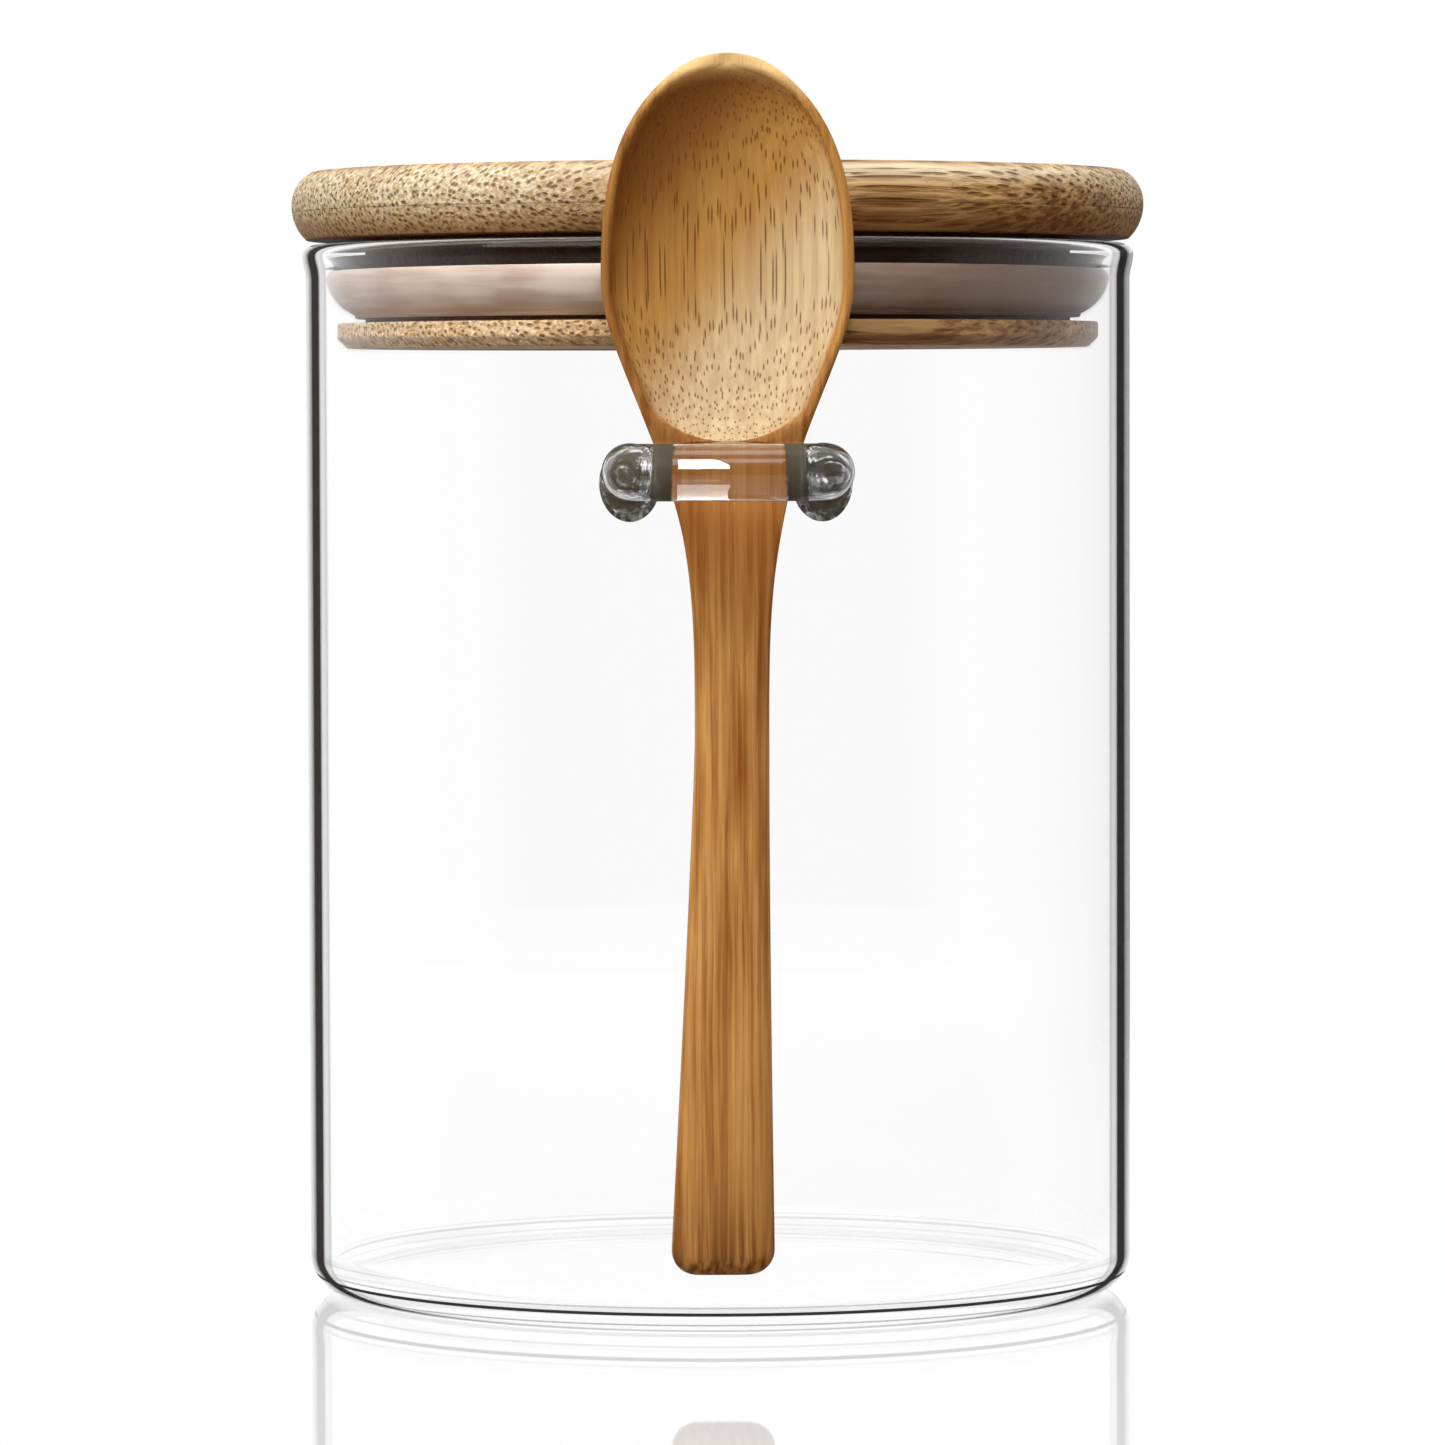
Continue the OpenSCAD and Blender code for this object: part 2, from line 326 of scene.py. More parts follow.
@dataclass(frozen=True)
class ClearGlass(Finish):
    """Clear borosilicate glass, whose wall shows painted dark bands where it is seen edge-on.

    A band is a share of painted shade laid over the clear glass. Facing is 0 where the surface is
    seen head-on and 1 where it is seen edge-on. A painted base line is a dark line round the
    base: a height, half a width and a share.
    """

    name: str = "clear_glass"
    ior: float = 1.47
    tint: Colour = (1.0, 0.996, 0.997)
    gloss: float = 0.3
    # Painted shade: the colour of the dark reflections laid over the glass, and their share by facing.
    painted_shade_colour: Colour = shade(38, 32, 28)
    bands: Stops = (
        (0.0, 0.0), (1.0, 0.05), (0.68, 0.0), (0.69, 0.12), (0.70, 0.45), (0.71, 0.25),
        (0.735, 0.27), (0.745, 0.45), (0.757, 0.97), (0.828, 0.97), (0.85, 0.66), (0.9, 0.3),
    )
    outer_skin_mm: float = 48.8
    corner_skin_mm: float = 44.5
    skin_soft_mm: float = 0.05
    # Painted shade: dark lines round the base, where the thick corner would refract dark surroundings.
    painted_base_lines: tuple[tuple[float, float, float], ...] = (
        (2.42, 0.2, 0.97), (3.22, 0.1, 0.42), (1.06, 0.1, 0.5), (0.04, 0.1, 0.5),
    )
    line_soft_mm: float = 0.04
    foot_fade_mm: float = 0.9
    foot_share: float = 0.3
    far_share: float = 0.75
    trapped_after: int = 3
    trapped_glow: float = 0.96

    def _bands(self, ink: Shader) -> Wire:
        """Returns the share of painted dark reflection that the way a surface faces gives."""
        return ink.ramp(ink.wire("LayerWeight", None, {"Blend": 0.5}, "Facing"), self.bands)

    def _painted_shade_share(self, ink: Shader, place: Wire) -> Wire:
        """Returns the painted shade over the glass, which is none on the inside of the wall.

        Args:
            ink: The shader to write in.
            place: The place on the piece.

        Returns:
            The share of ink.
        """
        reach = (place * (1.0, 1.0, 0.0)).length()
        height = place.parts()[2]
        side = reach.past_mm(self.outer_skin_mm, self.skin_soft_mm)
        corner = (reach - height).past_mm(self.corner_skin_mm, self.skin_soft_mm)
        fade = self.foot_share + height.step_mm(0.0, self.foot_fade_mm) * (1 - self.foot_share)
        inside = ink.wire("NewGeometry", output="Backfacing")
        share = self._bands(ink) * side.at_least(corner) * fade * (1 - inside)
        for middle, half, strength in self.painted_base_lines:
            line = abs(height - middle * MM).past_mm(half, -self.line_soft_mm) * corner
            share = share.at_least(line * (1 - inside * self.far_share) * strength)
        return share

    def _extra(self, ink: Shader, place: Wire) -> dict[str, object]:
        """Returns what else the glass shader's inputs hold."""
        return {}

    def surface(self, ink: Shader) -> Node:
        """Lays painted shade on clear glass, lets shadow rays through, paints trapped light white.

        Args:
            ink: The shader to write in.

        Returns:
            The last shader.
        """
        place = ink.place()
        glass = ink.node("BsdfPrincipled", None, {
            "Base Color": self.tint, "Roughness": 0.0, "IOR": self.ior, "Transmission Weight": 1.0,
            "Specular Tint": (self.gloss,) * 3, **self._extra(ink, place),
        })
        # Painted shade: a dark diffuse shader stands in for the dark reflections at the glass's edges.
        edge = ink.node("BsdfDiffuse", None, {0: self.painted_shade_colour})
        seen = ink.layer(self._painted_shade_share(ink, place), glass, edge)
        # Painted light: past three reflections inside the glass it glows white, though it is no lamp.
        trapped = ink.ray("Glossy Depth").step(self.trapped_after, self.trapped_after + 0.5)
        seen = ink.layer(trapped, seen, ink.node("Emission", None, {1: self.trapped_glow}))
        return ink.layer(ink.ray("Is Shadow Ray"), seen, ink.node("BsdfTransparent"))

    def make(self) -> Material:
        """Returns the glass as a material that isn't sampled as a lamp."""
        material = super().make()
        material.cycles.emission_sampling = "NONE"
        return material


@dataclass(frozen=True)
class RodGlass(ClearGlass):
    """Thick glass rod with painted shade at its bends, ends and wrinkled feet fused to the wall."""

    name: str = "rod_glass"
    gloss: float = 0.75
    # Painted shade: the colour of the dark refraction laid over the rod.
    painted_shade_colour: Colour = shade(82, 77, 64)
    bands: Stops = ((0.0, 0.0), (1.0, 0.95), (0.6, 0.0), (0.82, 0.05), (0.9, 0.85))
    bend_mm: Span = (6.4, 8.8)
    bend_soft_mm: float = 0.15
    bend_wander_mm: float = 0.8
    bend_lean: float = 0.06
    bend_share: float = 0.9
    window_mm: float = 10.0
    window_soft_mm: float = 0.1
    window_end_mm: float = 11.1
    window_wander_mm: float = 0.3
    window_round_mm: Span = (2.35, 2.15)
    window_core_mm: Span = (2.1, 1.85)
    window_glints: Span = (0.54, 0.6)
    window_share: float = 0.8
    right_window_less: float = 0.2
    axis_z_mm: float = 100.0
    bar_back_mm: float = -63.5
    foot_mm: float = -52.5
    painted_foot_shade: float = 0.8
    foot_wrinkles: Span = (0.62, 0.5)
    wrinkles: float = 900.0
    waviness: float = 420.0

    def _painted_shade_share(self, ink: Shader, place: Wire) -> Wire:
        """Returns the painted shade over the rod, by the way it faces and the place along it.

        Args:
            ink: The shader to write in.
            place: The place on the piece.

        Returns:
            The share of ink.
        """
        wave = ink.noise(place, self.wrinkles, 3.0)
        right, back, up = place.parts()
        side = abs(right)
        rise = up - self.axis_z_mm * MM
        bent = side + (wave - 0.5) * (self.bend_wander_mm * MM) + rise * self.bend_lean
        start, end = self.bend_mm
        band = bent.past_mm(start, self.bend_soft_mm) * bent.past_mm(end, -self.bend_soft_mm)
        past = (side - self.window_end_mm * MM).at_least(0.0)
        inset = (past * past + rise * rise) ** 0.5 + (wave - 0.5) * (self.window_wander_mm * MM)
        opening = bent.past_mm(self.window_mm, self.window_soft_mm)
        opening = opening * inset.step_mm(*self.window_round_mm)
        core = inset.step_mm(*self.window_core_mm)
        window = opening * (1 - core * wave.step(*self.window_glints))
        strength = self.window_share - right.step_mm(-1, 1) * self.right_window_less
        # Painted shade: dark bands at the bends and dark windows at the ends stand in for refraction.
        marks = (band * self.bend_share).at_least(window * strength)
        front = back.step_mm(self.bar_back_mm + 1, self.bar_back_mm)
        foot = back.step_mm(self.foot_mm - 1, self.foot_mm)
        # Painted shade: the feet are darkened in wrinkles.
        feet = foot * wave.step(*self.foot_wrinkles) * self.painted_foot_shade
        outside = 1 - ink.wire("NewGeometry", output="Backfacing")
        return (self._bands(ink) * outside).at_least(marks * front).at_least(feet)

    def _extra(self, ink: Shader, place: Wire) -> dict[str, object]:
        """Returns the slight waviness of drawn rod."""
        return {"Normal": ink.bump(0.2, 0.3, ink.noise(place * (0.0, 1.0, 1.0), self.waviness, 1.0))}


@dataclass(frozen=True)
class MilkySilicone(Finish):
    """Milky silicone with a soft shine and faint moulding lines round the ring."""

    name: str = "milky_silicone"
    body: Colour = shade(204, 188, 176)
    shadow: Colour = shade(176, 154, 138)
    # Painted shade: a brown laid over the ring towards its right, where it is in shade.
    painted_right_shade: Colour = shade(118, 89, 72)
    painted_right_shade_share: float = 0.7
    painted_right_shade_mm: Span = (0.0, 30.0)
    line_spacing_mm: float = 0.9
    line_stretch: Place = (0.08, 0.08, 1.0)
    cloud_scale: float = 120.0
    contrast: Span = (0.7, 1.3)

    def surface(self, ink: Shader) -> Node:
        """Writes silicone with painted shade that makes it browner towards its right.

        Args:
            ink: The shader to write in.

        Returns:
            The last shader.
        """
        place = ink.place()
        lines = ink.noise(place * self.line_stretch, 1 / (self.line_spacing_mm * MM), 2.0)
        cloud = ink.noise(place, self.cloud_scale, 2.0)
        tone = ink.blend((lines + cloud).step(*self.contrast), self.shadow, self.body)
        # Painted shade, browner towards the right.
        right = place.parts()[0].step_mm(*self.painted_right_shade_mm)
        return ink.node("BsdfPrincipled", None, {
            "Base Color": ink.blend(right * self.painted_right_shade_share, tone, self.painted_right_shade),
            "Roughness": 0.5, "IOR": 1.43, "Normal": ink.bump(0.15, 0.1, lines),
            "Specular IOR Level": 0.2, "Subsurface Weight": 0.2,
            "Subsurface Radius": (1.0, 0.7, 0.5), "Subsurface Scale": 1.5 * MM,
        })


class Fibre(Enum):
    """Which way a bamboo piece's fibres run, as the turn that brings +Z onto them, in degrees."""

    UPRIGHT = (0.0, 0.0, 0.0)
    ACROSS_LID = (0.0, 90.0, 23.0)


@dataclass(frozen=True)
class Grain:
    """The parts of a bamboo's pattern, each a wire from 0 to 1."""

    place: Wire
    pores: Wire
    streaks: Wire
    clouds: Wire
    tone: Wire


@dataclass(frozen=True)
class Bamboo(Finish):
    """Bamboo, with long dark fibre bundles through a pale ground.

    The bundles run along the fibres through the whole piece, so that they show as pores where a
    surface cuts across them and as streaks where it runs along them. A run is how fast a part
    of the pattern changes along the fibres, as a share of how fast it does across them. A
    contrast is the two noise values that become 0 and 1.
    """

    fibre: Fibre
    light: Colour
    dark: Colour
    pore: Colour
    pore_spacing_mm: float
    pore_radius: float
    pore_strength: float
    pore_run: float
    relief_mm: float
    roughness: float
    seed: float
    streak_spacing_mm: float = 0.8
    streak_run: float = 0.02
    streak_contrast: Span = (0.32, 0.68)
    streak_share: float = 0.7
    streak_relief: float = 0.4
    wander_mm: float = 1.6
    wander_scale: float = 140.0
    wander_run: float = 0.35
    pore_soft: float = 0.35
    pore_relief: float = 0.6
    pore_rough: float = 0.25
    break_scale: float = 900.0
    break_contrast: Span = (0.3, 0.42)
    cloud_scale: float = 160.0
    cloud_run: float = 0.3
    cloud_contrast: Span = (0.3, 0.7)
    shine: float = 0.05

    def grain(self, ink: Shader) -> Grain:
        """Writes the pattern that all bamboo pieces share.

        Args:
            ink: The shader to write in.

        Returns:
            The parts of the pattern.
        """
        place = ink.place()
        turn = tuple(math.radians(angle) for angle in self.fibre.value)
        along = ink.wire(
            "Mapping", {"vector_type": "TEXTURE"},
            {"Vector": place, "Location": (self.seed, self.seed, 0.0), "Rotation": turn},
        )
        wander = ink.wire("TexNoise", None, {
            "Vector": along * (1.0, 1.0, self.wander_run), "Scale": self.wander_scale, "Detail": 1.0,
        }, "Color") - 0.5
        bent = along + wander * (self.wander_mm * MM)
        bundles = ink.wire(
            "TexVoronoi", {"voronoi_dimensions": "2D"},
            {"Vector": bent, "Scale": 1 / (self.pore_spacing_mm * MM), "Randomness": 0.9},
            "Distance",
        )
        broken = ink.noise(along * (1.0, 1.0, self.pore_run), self.break_scale, 1.0)
        pores = bundles.step(self.pore_radius, self.pore_radius * self.pore_soft)
        pores = pores * broken.step(*self.break_contrast)
        streaks = ink.wire("TexNoise", None, {
            "Vector": bent * (1.0, 1.0, self.streak_run),
            "Scale": 1 / (self.streak_spacing_mm * MM), "Detail": 4.0, "Roughness": 0.6,
        }).step(*self.streak_contrast)
        clouds = ink.noise(along * (1.0, 1.0, self.cloud_run), self.cloud_scale, 3.0)
        clouds = clouds.step(*self.cloud_contrast)
        tone = streaks * self.streak_share + clouds * (1 - self.streak_share)
        return Grain(place, pores, streaks, clouds, tone)

    def wood(self, ink: Shader, grain: Grain, ground: Wire, pores: Wire) -> Node:
        """Lays the pores over a ground colour and gives them depth.

        Args:
            ink: The shader to write in.
            grain: The pattern.
            ground: The colour between the pores.
            pores: How much of a pore there is.

        Returns:
            The finished wood.
        """
        return ink.node("BsdfPrincipled", None, {
            "Base Color": ink.blend(pores * self.pore_strength, ground, self.pore),
            "Roughness": self.roughness + pores * self.pore_rough,
            "Normal": ink.bump(
                self.pore_relief, self.relief_mm, grain.streaks * self.streak_relief - pores,
            ),
            "Specular IOR Level": self.shine,
        })


@dataclass(frozen=True)
class LidBamboo(Bamboo):
    """Sanded bamboo of the lid: pale and pitted across the fibres, golden brown along them."""

    end_light: Colour = shade(248, 238, 212)
    end_dark: Colour = shade(182, 148, 96)
    # Painted shade: the browns laid towards the underside of the edge and on the flange.
    brown: Colour = shade(160, 103, 4)
    painted_deep_under_shade: Colour = shade(112, 54, 2)
    painted_shade_mm: Span = (132.5, 127.5)
    painted_under_shade_share: float = 0.4
    painted_disc_under_shade_share: float = 0.28
    # Painted light: the upper edge is paler along the fibres, less so on the top face.
    painted_top_light_mm: Span = (132.6, 135.2)
    painted_top_light_share: float = 0.62
    painted_top_light_face: float = 0.15
    face_mm: Span = (135.75, 135.0)
    face_pores: float = 0.5
    glue_mm: float = 130.9
    glue_half_mm: float = 0.11
    glue_soft_mm: float = 0.05
    glue_share: float = 0.55
    # Painted shade: the plug's core under the disc is darkened.
    core: Colour = shade(80, 42, 6)
    painted_core_shade_mm: Span = (117.6, 127.7)
    painted_core_shade_share: float = 0.9
    painted_core_shade_soft_mm: Span = (0.05, 0.1)
    fleck_mm: float = 0.45
    fleck_contrast: Span = (0.35, 0.65)
    fleck_share: float = 0.6
    end_turn: Span = (0.15, 0.7)

    def _end_grain(self, ink: Shader, place: Wire) -> Wire:
        """Finds where the lid's edge shows the ends of the fibres.

        Args:
            ink: The shader to write in.
            place: The place on the lid.

        Returns:
            1 at the fibres' ends and 0 along them.
        """
        turn = math.radians(self.fibre.value[2])
        out = ink.wire("VectorMath", {"operation": "NORMALIZE"}, {0: place * (1.0, 1.0, 0.0)})
        fibre = (math.cos(turn), math.sin(turn), 0.0)
        across = ink.wire("VectorMath", {"operation": "DOT_PRODUCT"}, {0: out, 1: fibre}, 1)
        return (across * across).step(*self.end_turn)

    def surface(self, ink: Shader) -> Node:
        """Writes sanded bamboo with a painted light upper edge and painted shade below and inside.

        Args:
            ink: The shader to write in.

        Returns:
            The last shader.
        """
        grain = self.grain(ink)
        along = ink.blend(grain.tone, self.dark, self.light)
        flecks = ink.noise(grain.place, 1 / (self.fleck_mm * MM), 2.0).step(*self.fleck_contrast)
        across = grain.tone * (1 - self.fleck_share) + flecks * self.fleck_share
        across = ink.blend(across, self.end_dark, self.end_light)
        height = grain.place.parts()[2]
        rim = height.step_mm(*self.face_mm)
        ends = self._end_grain(ink, grain.place) * rim
        # Painted shade: browner towards the underside, most on the disc and less on the flange.
        start, end = self.painted_shade_mm
        disc = height.step_mm(end - 1, end)
        low = height.step_mm(start, end) * (self.painted_under_shade_share + disc * self.painted_disc_under_shade_share)
        # Painted light: paler towards the top edge.
        painted_top_light = height.step_mm(*self.painted_top_light_mm) * (self.painted_top_light_face + rim * (1 - self.painted_top_light_face))
        seam = abs(height - self.glue_mm * MM).past_mm(self.glue_half_mm, -self.glue_soft_mm)
        # Painted shade: the core between the flange and the disc is darker.
        (start, end), (low_soft, high_soft) = self.painted_core_shade_mm, self.painted_core_shade_soft_mm
        inner = height.past_mm(start, low_soft) * height.past_mm(end, -high_soft)
        ground = ink.coats(
            along, (ends, across), (low, ink.blend(ends, self.painted_deep_under_shade, self.brown)),
            (painted_top_light * (1 - ends) * self.painted_top_light_share, self.end_light),
            (seam * grain.clouds * self.glue_share, self.pore), (inner * self.painted_core_shade_share, self.core),
        )
        pores = grain.pores * (self.face_pores + rim * (1 - self.face_pores))
        return self.wood(ink, grain, ground, pores)


@dataclass(frozen=True)
class SpoonBamboo(Bamboo):
    """Oiled bamboo of the spoon: brown outside, paler where the hollow is carved across fibres.

    Its tones are the share of brown at each share of tone_reach_mm above the table. The hollow
    has painted shade towards its top left and painted light towards its lower right.
    """

    carved: Colour = shade(206, 156, 86)
    pale: Colour = shade(228, 206, 162)
    brown: Colour = shade(128, 74, 28)
    burnt: Colour = shade(64, 32, 10)
    # Painted shade and light in the hollow: browner to the top left, paler to the lower right.
    middle_mm: float = 129.0
    pale_mm: float = 112.0
    painted_shade_mm: float = 147.0
    slant: float = 1.2
    painted_top_shade: float = 0.85
    carved_streaks: float = 0.4
    burnt_mm: Span = (20.0, 6.0)
    burnt_share: float = 0.7
    burnt_streaks: float = 1.1
    tones: Stops = (
        (0.0, 0.5), (1.0, 0.1), (0.1, 0.35), (0.2, 0.18), (0.36, 0.0), (0.5, 0.08), (0.58, 0.55),
        (0.63, 0.8), (0.68, 0.6), (0.74, 0.3),
    )
    tone_reach_mm: float = 150.0
    left_rim_mm: Span = (-7.0, -14.0)
    right_rim_mm: Span = (4.0, 13.0)
    rim_share: float = 0.45
    bowl_mm: Span = (108.0, 116.0)
    # Painted highlight: the rounded tip is paled where it catches the light.
    painted_tip_highlight_mm: Span = (141.5, 147.2)
    painted_tip_highlight: Colour = shade(254, 216, 152)
    corner_mm: Span = (4.0, 9.0)
    corner_low_mm: Span = (109.0, 104.0)
    corner_share: float = 0.8
    corner_even: float = 0.4
    corner_colour: Colour = shade(158, 90, 36)
    skin_pores: float = 0.3
    top_pores_less: float = 0.45
    hollow_mark: str = "hollow"

    def surface(self, ink: Shader) -> Node:
        """Writes oiled bamboo: a paler pitted hollow with painted light and shade, a scorched end.

        Args:
            ink: The shader to write in.

        Returns:
            The last shader.
        """
        grain = self.grain(ink)
        side, _, height = grain.place.parts()
        bowl = height.step_mm(*self.bowl_mm) * self.rim_share
        # The skin's last coat is a painted highlight on the tip.
        skin = ink.coats(
            ink.blend(grain.tone, self.dark, self.light),
            (ink.ramp(height / (self.tone_reach_mm * MM), self.tones), self.brown),
            (side.step_mm(*self.left_rim_mm) * bowl, self.brown),
            (side.step_mm(*self.right_rim_mm) * bowl, self.carved),
            (height.step_mm(*self.painted_tip_highlight_mm), self.painted_tip_highlight),
        )
        # Painted shade at the hollow's top left, painted light at its lower right; partly the paler
        # carved wood.
        slant = height - side * self.slant
        high = slant.step_mm(self.middle_mm, self.painted_shade_mm)
        corner = height.step_mm(*self.corner_low_mm) * abs(side).step_mm(*self.corner_mm)
        corner = corner * (self.corner_even + grain.clouds * (1 - self.corner_even))
        carved = ink.coats(
            self.carved, (slant.step_mm(self.middle_mm, self.pale_mm), self.pale),
            (high * self.painted_top_shade, self.brown), ((1 - grain.tone) * self.carved_streaks, self.dark),
            (corner * self.corner_share, self.corner_colour),
        )
        hollow = ink.wire("Attribute", {"attribute_name": self.hollow_mark}, output="Fac")
        scorch = height.step_mm(*self.burnt_mm) * (self.burnt_streaks - grain.streaks)
        scorch = scorch * self.burnt_share
        ground = ink.blend(scorch, ink.blend(hollow, skin, carved), self.burnt)
        shown = self.skin_pores + hollow * (1 - self.skin_pores)
        pores = grain.pores * (shown * (1 - high * self.top_pores_less))
        return self.wood(ink, grain, ground, pores)


@dataclass(frozen=True)
class WhiteTable(Finish):
    """White table top, bright to the eye and in glass, that mirrors faintly near the object."""

    name: str = "white_table"
    glow: float = 0.96
    matte: float = 0.06
    paint: Colour = (0.9, 0.9, 0.9)
    bounce: Colour = (0.3, 0.24, 0.18)
    dark_side: Colour = (0.1, 0.1, 0.1)
    dark_side_mm: Span = (60.0, 120.0)
    dark_share: float = 0.8
    through_less: float = 0.03
    through_mm: Span = (550.0, 150.0)
    mirror: float = 0.74
    mirror_mm: Span = (450.0, 200.0)

    def surface(self, ink: Shader) -> Node:
        """Writes a glow for the eye and for glass, and paint that the lamps light.

        Args:
            ink: The shader to write in.

        Returns:
            The last shader.
        """
        place = ink.place()
        reach = place.length()
        passed, mirrored = ink.ray("Is Transmission Ray"), ink.ray("Is Glossy Ray")
        direct = 1 - ink.ray("Diffuse Depth").at_most(1.0)
        glow = 1 - passed * reach.step_mm(*self.through_mm) * self.through_less
        white = ink.node("Emission", None, {0: WHITE, 1: glow * (self.glow / (1 - self.matte))})
        right = place.parts()[0].step_mm(*self.dark_side_mm)
        paint = ink.blend(mirrored * (1 - passed) * right, self.paint, self.dark_side)
        matte = ink.node("BsdfDiffuse", None, {0: ink.blend(direct, self.bounce, paint)})
        shown = ink.ray("Is Camera Ray").at_least(passed)
        shown = shown.at_least(mirrored * (1 - right * self.dark_share)) * direct
        ground = ink.layer(shown * (1 - self.matte), matte, white)
        gloss = ink.node("BsdfGlossy", None, {0: WHITE, "Roughness": 0.03})
        fresnel = ink.wire("Fresnel", None, {0: 1.45})
        return ink.layer(fresnel * reach.step_mm(*self.mirror_mm) * self.mirror, ground, gloss)


# Mesh helpers


@dataclass(frozen=True)
class Corner:
    """A corner of a section: its distance from the axis, its height, and its rounding."""

    x: float
    z: float
    round: float = 0.0


def arc(x: float, z: float, radius: float, start: float, end: float, steps: int) -> list[Corner]:
    """Returns corners along an arc of a section.

    Args:
        x: Distance of the arc's centre from the axis.
        z: Height of the arc's centre.
        radius: Radius.
        start: Angle of the first corner in degrees, from +X towards +Z.
        end: Angle of the last corner.
        steps: Stretches that the arc is cut into.

    Returns:
        The corners, from start to end.
    """
    turns = [math.radians(mix(start, end, index / steps)) for index in range(steps + 1)]
    return [Corner(x + radius * math.cos(turn), z + radius * math.sin(turn)) for turn in turns]


def close(bm: BMesh) -> None:
    """Merges doubled vertices and turns every face outwards."""
    bmesh.ops.remove_doubles(bm, verts=bm.verts, dist=MERGE_MM)
    bmesh.ops.recalc_face_normals(bm, faces=bm.faces)


def soften(bm: BMesh, geom: list, width: float, segments: int, affect: str) -> None:
    """Bevels edges, or rounds the corners of a section.

    Args:
        bm: The mesh.
        geom: The edges or the vertices.
        width: The bevel's width.
        segments: Stretches across it.
        affect: EDGES or VERTICES.
    """
    bmesh.ops.bevel(
        bm, geom=geom, offset=width, offset_type="OFFSET", segments=segments, profile=0.5,
        affect=affect, clamp_overlap=True, material=-1,
    )


def lathe(section: Sequence[Corner], ring: bool = False, soft: float = 0.0,
          segments: int = 10) -> BMesh:
    """Spins a section round the Z axis into a closed solid.

    A long face gets an extra edge near each of its ends, so that it is shaded flat up to its
    rounded corners.

    Args:
        section: The section's corners. Unless it is a ring, the first and last lie on the axis.
        ring: Whether the section is closed and clear of the axis.
        soft: Width of the small bevel on edges that stay sharp.
        segments: Stretches in each rounded corner.

    Returns:
        The solid.
    """
    bm = bmesh.new()
    verts = [bm.verts.new((corner.x, 0, corner.z)) for corner in section]
    pairs = list(zip(verts, verts[1:])) + ([(verts[-1], verts[0])] if ring else [])
    for pair in pairs:
        bm.edges.new(pair)
    for vert, corner in zip(verts, section):
        if corner.round > 0:
            soften(bm, [vert], corner.round, segments, "VERTICES")
    for edge in [edge for edge in bm.edges if edge.calc_length() > 4 * HOLD_MM]:
        length = edge.calc_length()
        first, second = edge.verts
        near, _ = bmesh.utils.edge_split(edge, first, HOLD_MM / length)
        rest = next(link for link in second.link_edges if link.other_vert(second) in near.verts
                    or link is near or link is edge)
        bmesh.utils.edge_split(rest, second, HOLD_MM / rest.calc_length())
    bmesh.ops.spin(
        bm, geom=bm.verts[:] + bm.edges[:], cent=(0, 0, 0), axis=(0, 0, 1), dvec=(0, 0, 0),
        angle=2 * math.pi, steps=AROUND, use_merge=True, use_duplicate=False,
    )
    close(bm)
    if soft > 0:
        sharp = [
            edge for edge in bm.edges if edge.is_manifold and edge.calc_face_angle() > SHARP_TURN
        ]
        soften(bm, sharp, soft, SOFT_STEPS, "EDGES")
    return bm


def finish_piece(bm: BMesh, name: str) -> Object:
    """Turns a solid in millimetres into a smooth-shaded object in metres at the origin.

    Args:
        bm: The solid. It is used up.
        name: The object's name.

    Returns:
        The object.
    """
    bmesh.ops.scale(bm, vec=(MM, MM, MM), verts=bm.verts)
    mesh = bpy.data.meshes.new(name)
    bm.to_mesh(mesh)
    bm.free()
    mesh.shade_smooth()
    piece = bpy.data.objects.new(name, mesh)
    bpy.context.scene.collection.objects.link(piece)
    return piece


@dataclass
class Piece:
    """A finished object, the CAD node that it stands for, its body and its material slot."""

    thing: Object
    node: str
    body: str
    slot: str

    def register(self, finish: Material) -> None:
        """Gives the object its material and says what it replaces and rides on.

        Args:
            finish: The material.
        """
        self.thing.data.materials.append(finish)
        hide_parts(self.node)
        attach(self.thing, self.body)
        LOG.info("%s: %d faces on %s", self.thing.name, len(self.thing.data.polygons), self.body)


# Sub-assemblies


@dataclass
class Jar:
    """Blown glass jar: straight wall, flat floor and a melted rim."""

    width: float = 100.0
    height: float = 127.0
    wall: float = 2.3
    floor: float = 2.2
    base_round: float = 4.5
    floor_round: float = 3.5
    rim_bulge: float = 0.45
    rim_run: float = 4.2
    rim_steps: int = 20
    run_steps: int = 8
    round_steps: int = 14

    @property
    def radius(self) -> float:
        """Returns the outer radius of the wall."""
        return self.width / 2

    @property
    def mouth(self) -> float:
        """Returns the inner radius of the wall."""
        return self.radius - self.wall

    def build(self) -> Piece:
        """Returns the jar as one closed solid of glass."""
        bead = (self.wall + self.rim_bulge) / 2
        bead_z = self.height - bead
        rim = arc(self.mouth + bead, bead_z, bead, 0, 180, self.rim_steps)
        run = [
            Corner(self.radius + self.rim_bulge * ease(way),
                   mix(self.height - self.rim_run, bead_z, way))
            for way in (index / self.run_steps for index in range(self.run_steps))
        ]
        section = [
            Corner(0, 0), Corner(self.radius, 0, self.base_round), *run, *rim,
            Corner(self.mouth, self.floor, self.floor_round), Corner(0, self.floor),
        ]
        solid = lathe(section, segments=self.round_steps)
        return Piece(finish_piece(solid, "glass_jar"), "jar_body", "jar", "glass")


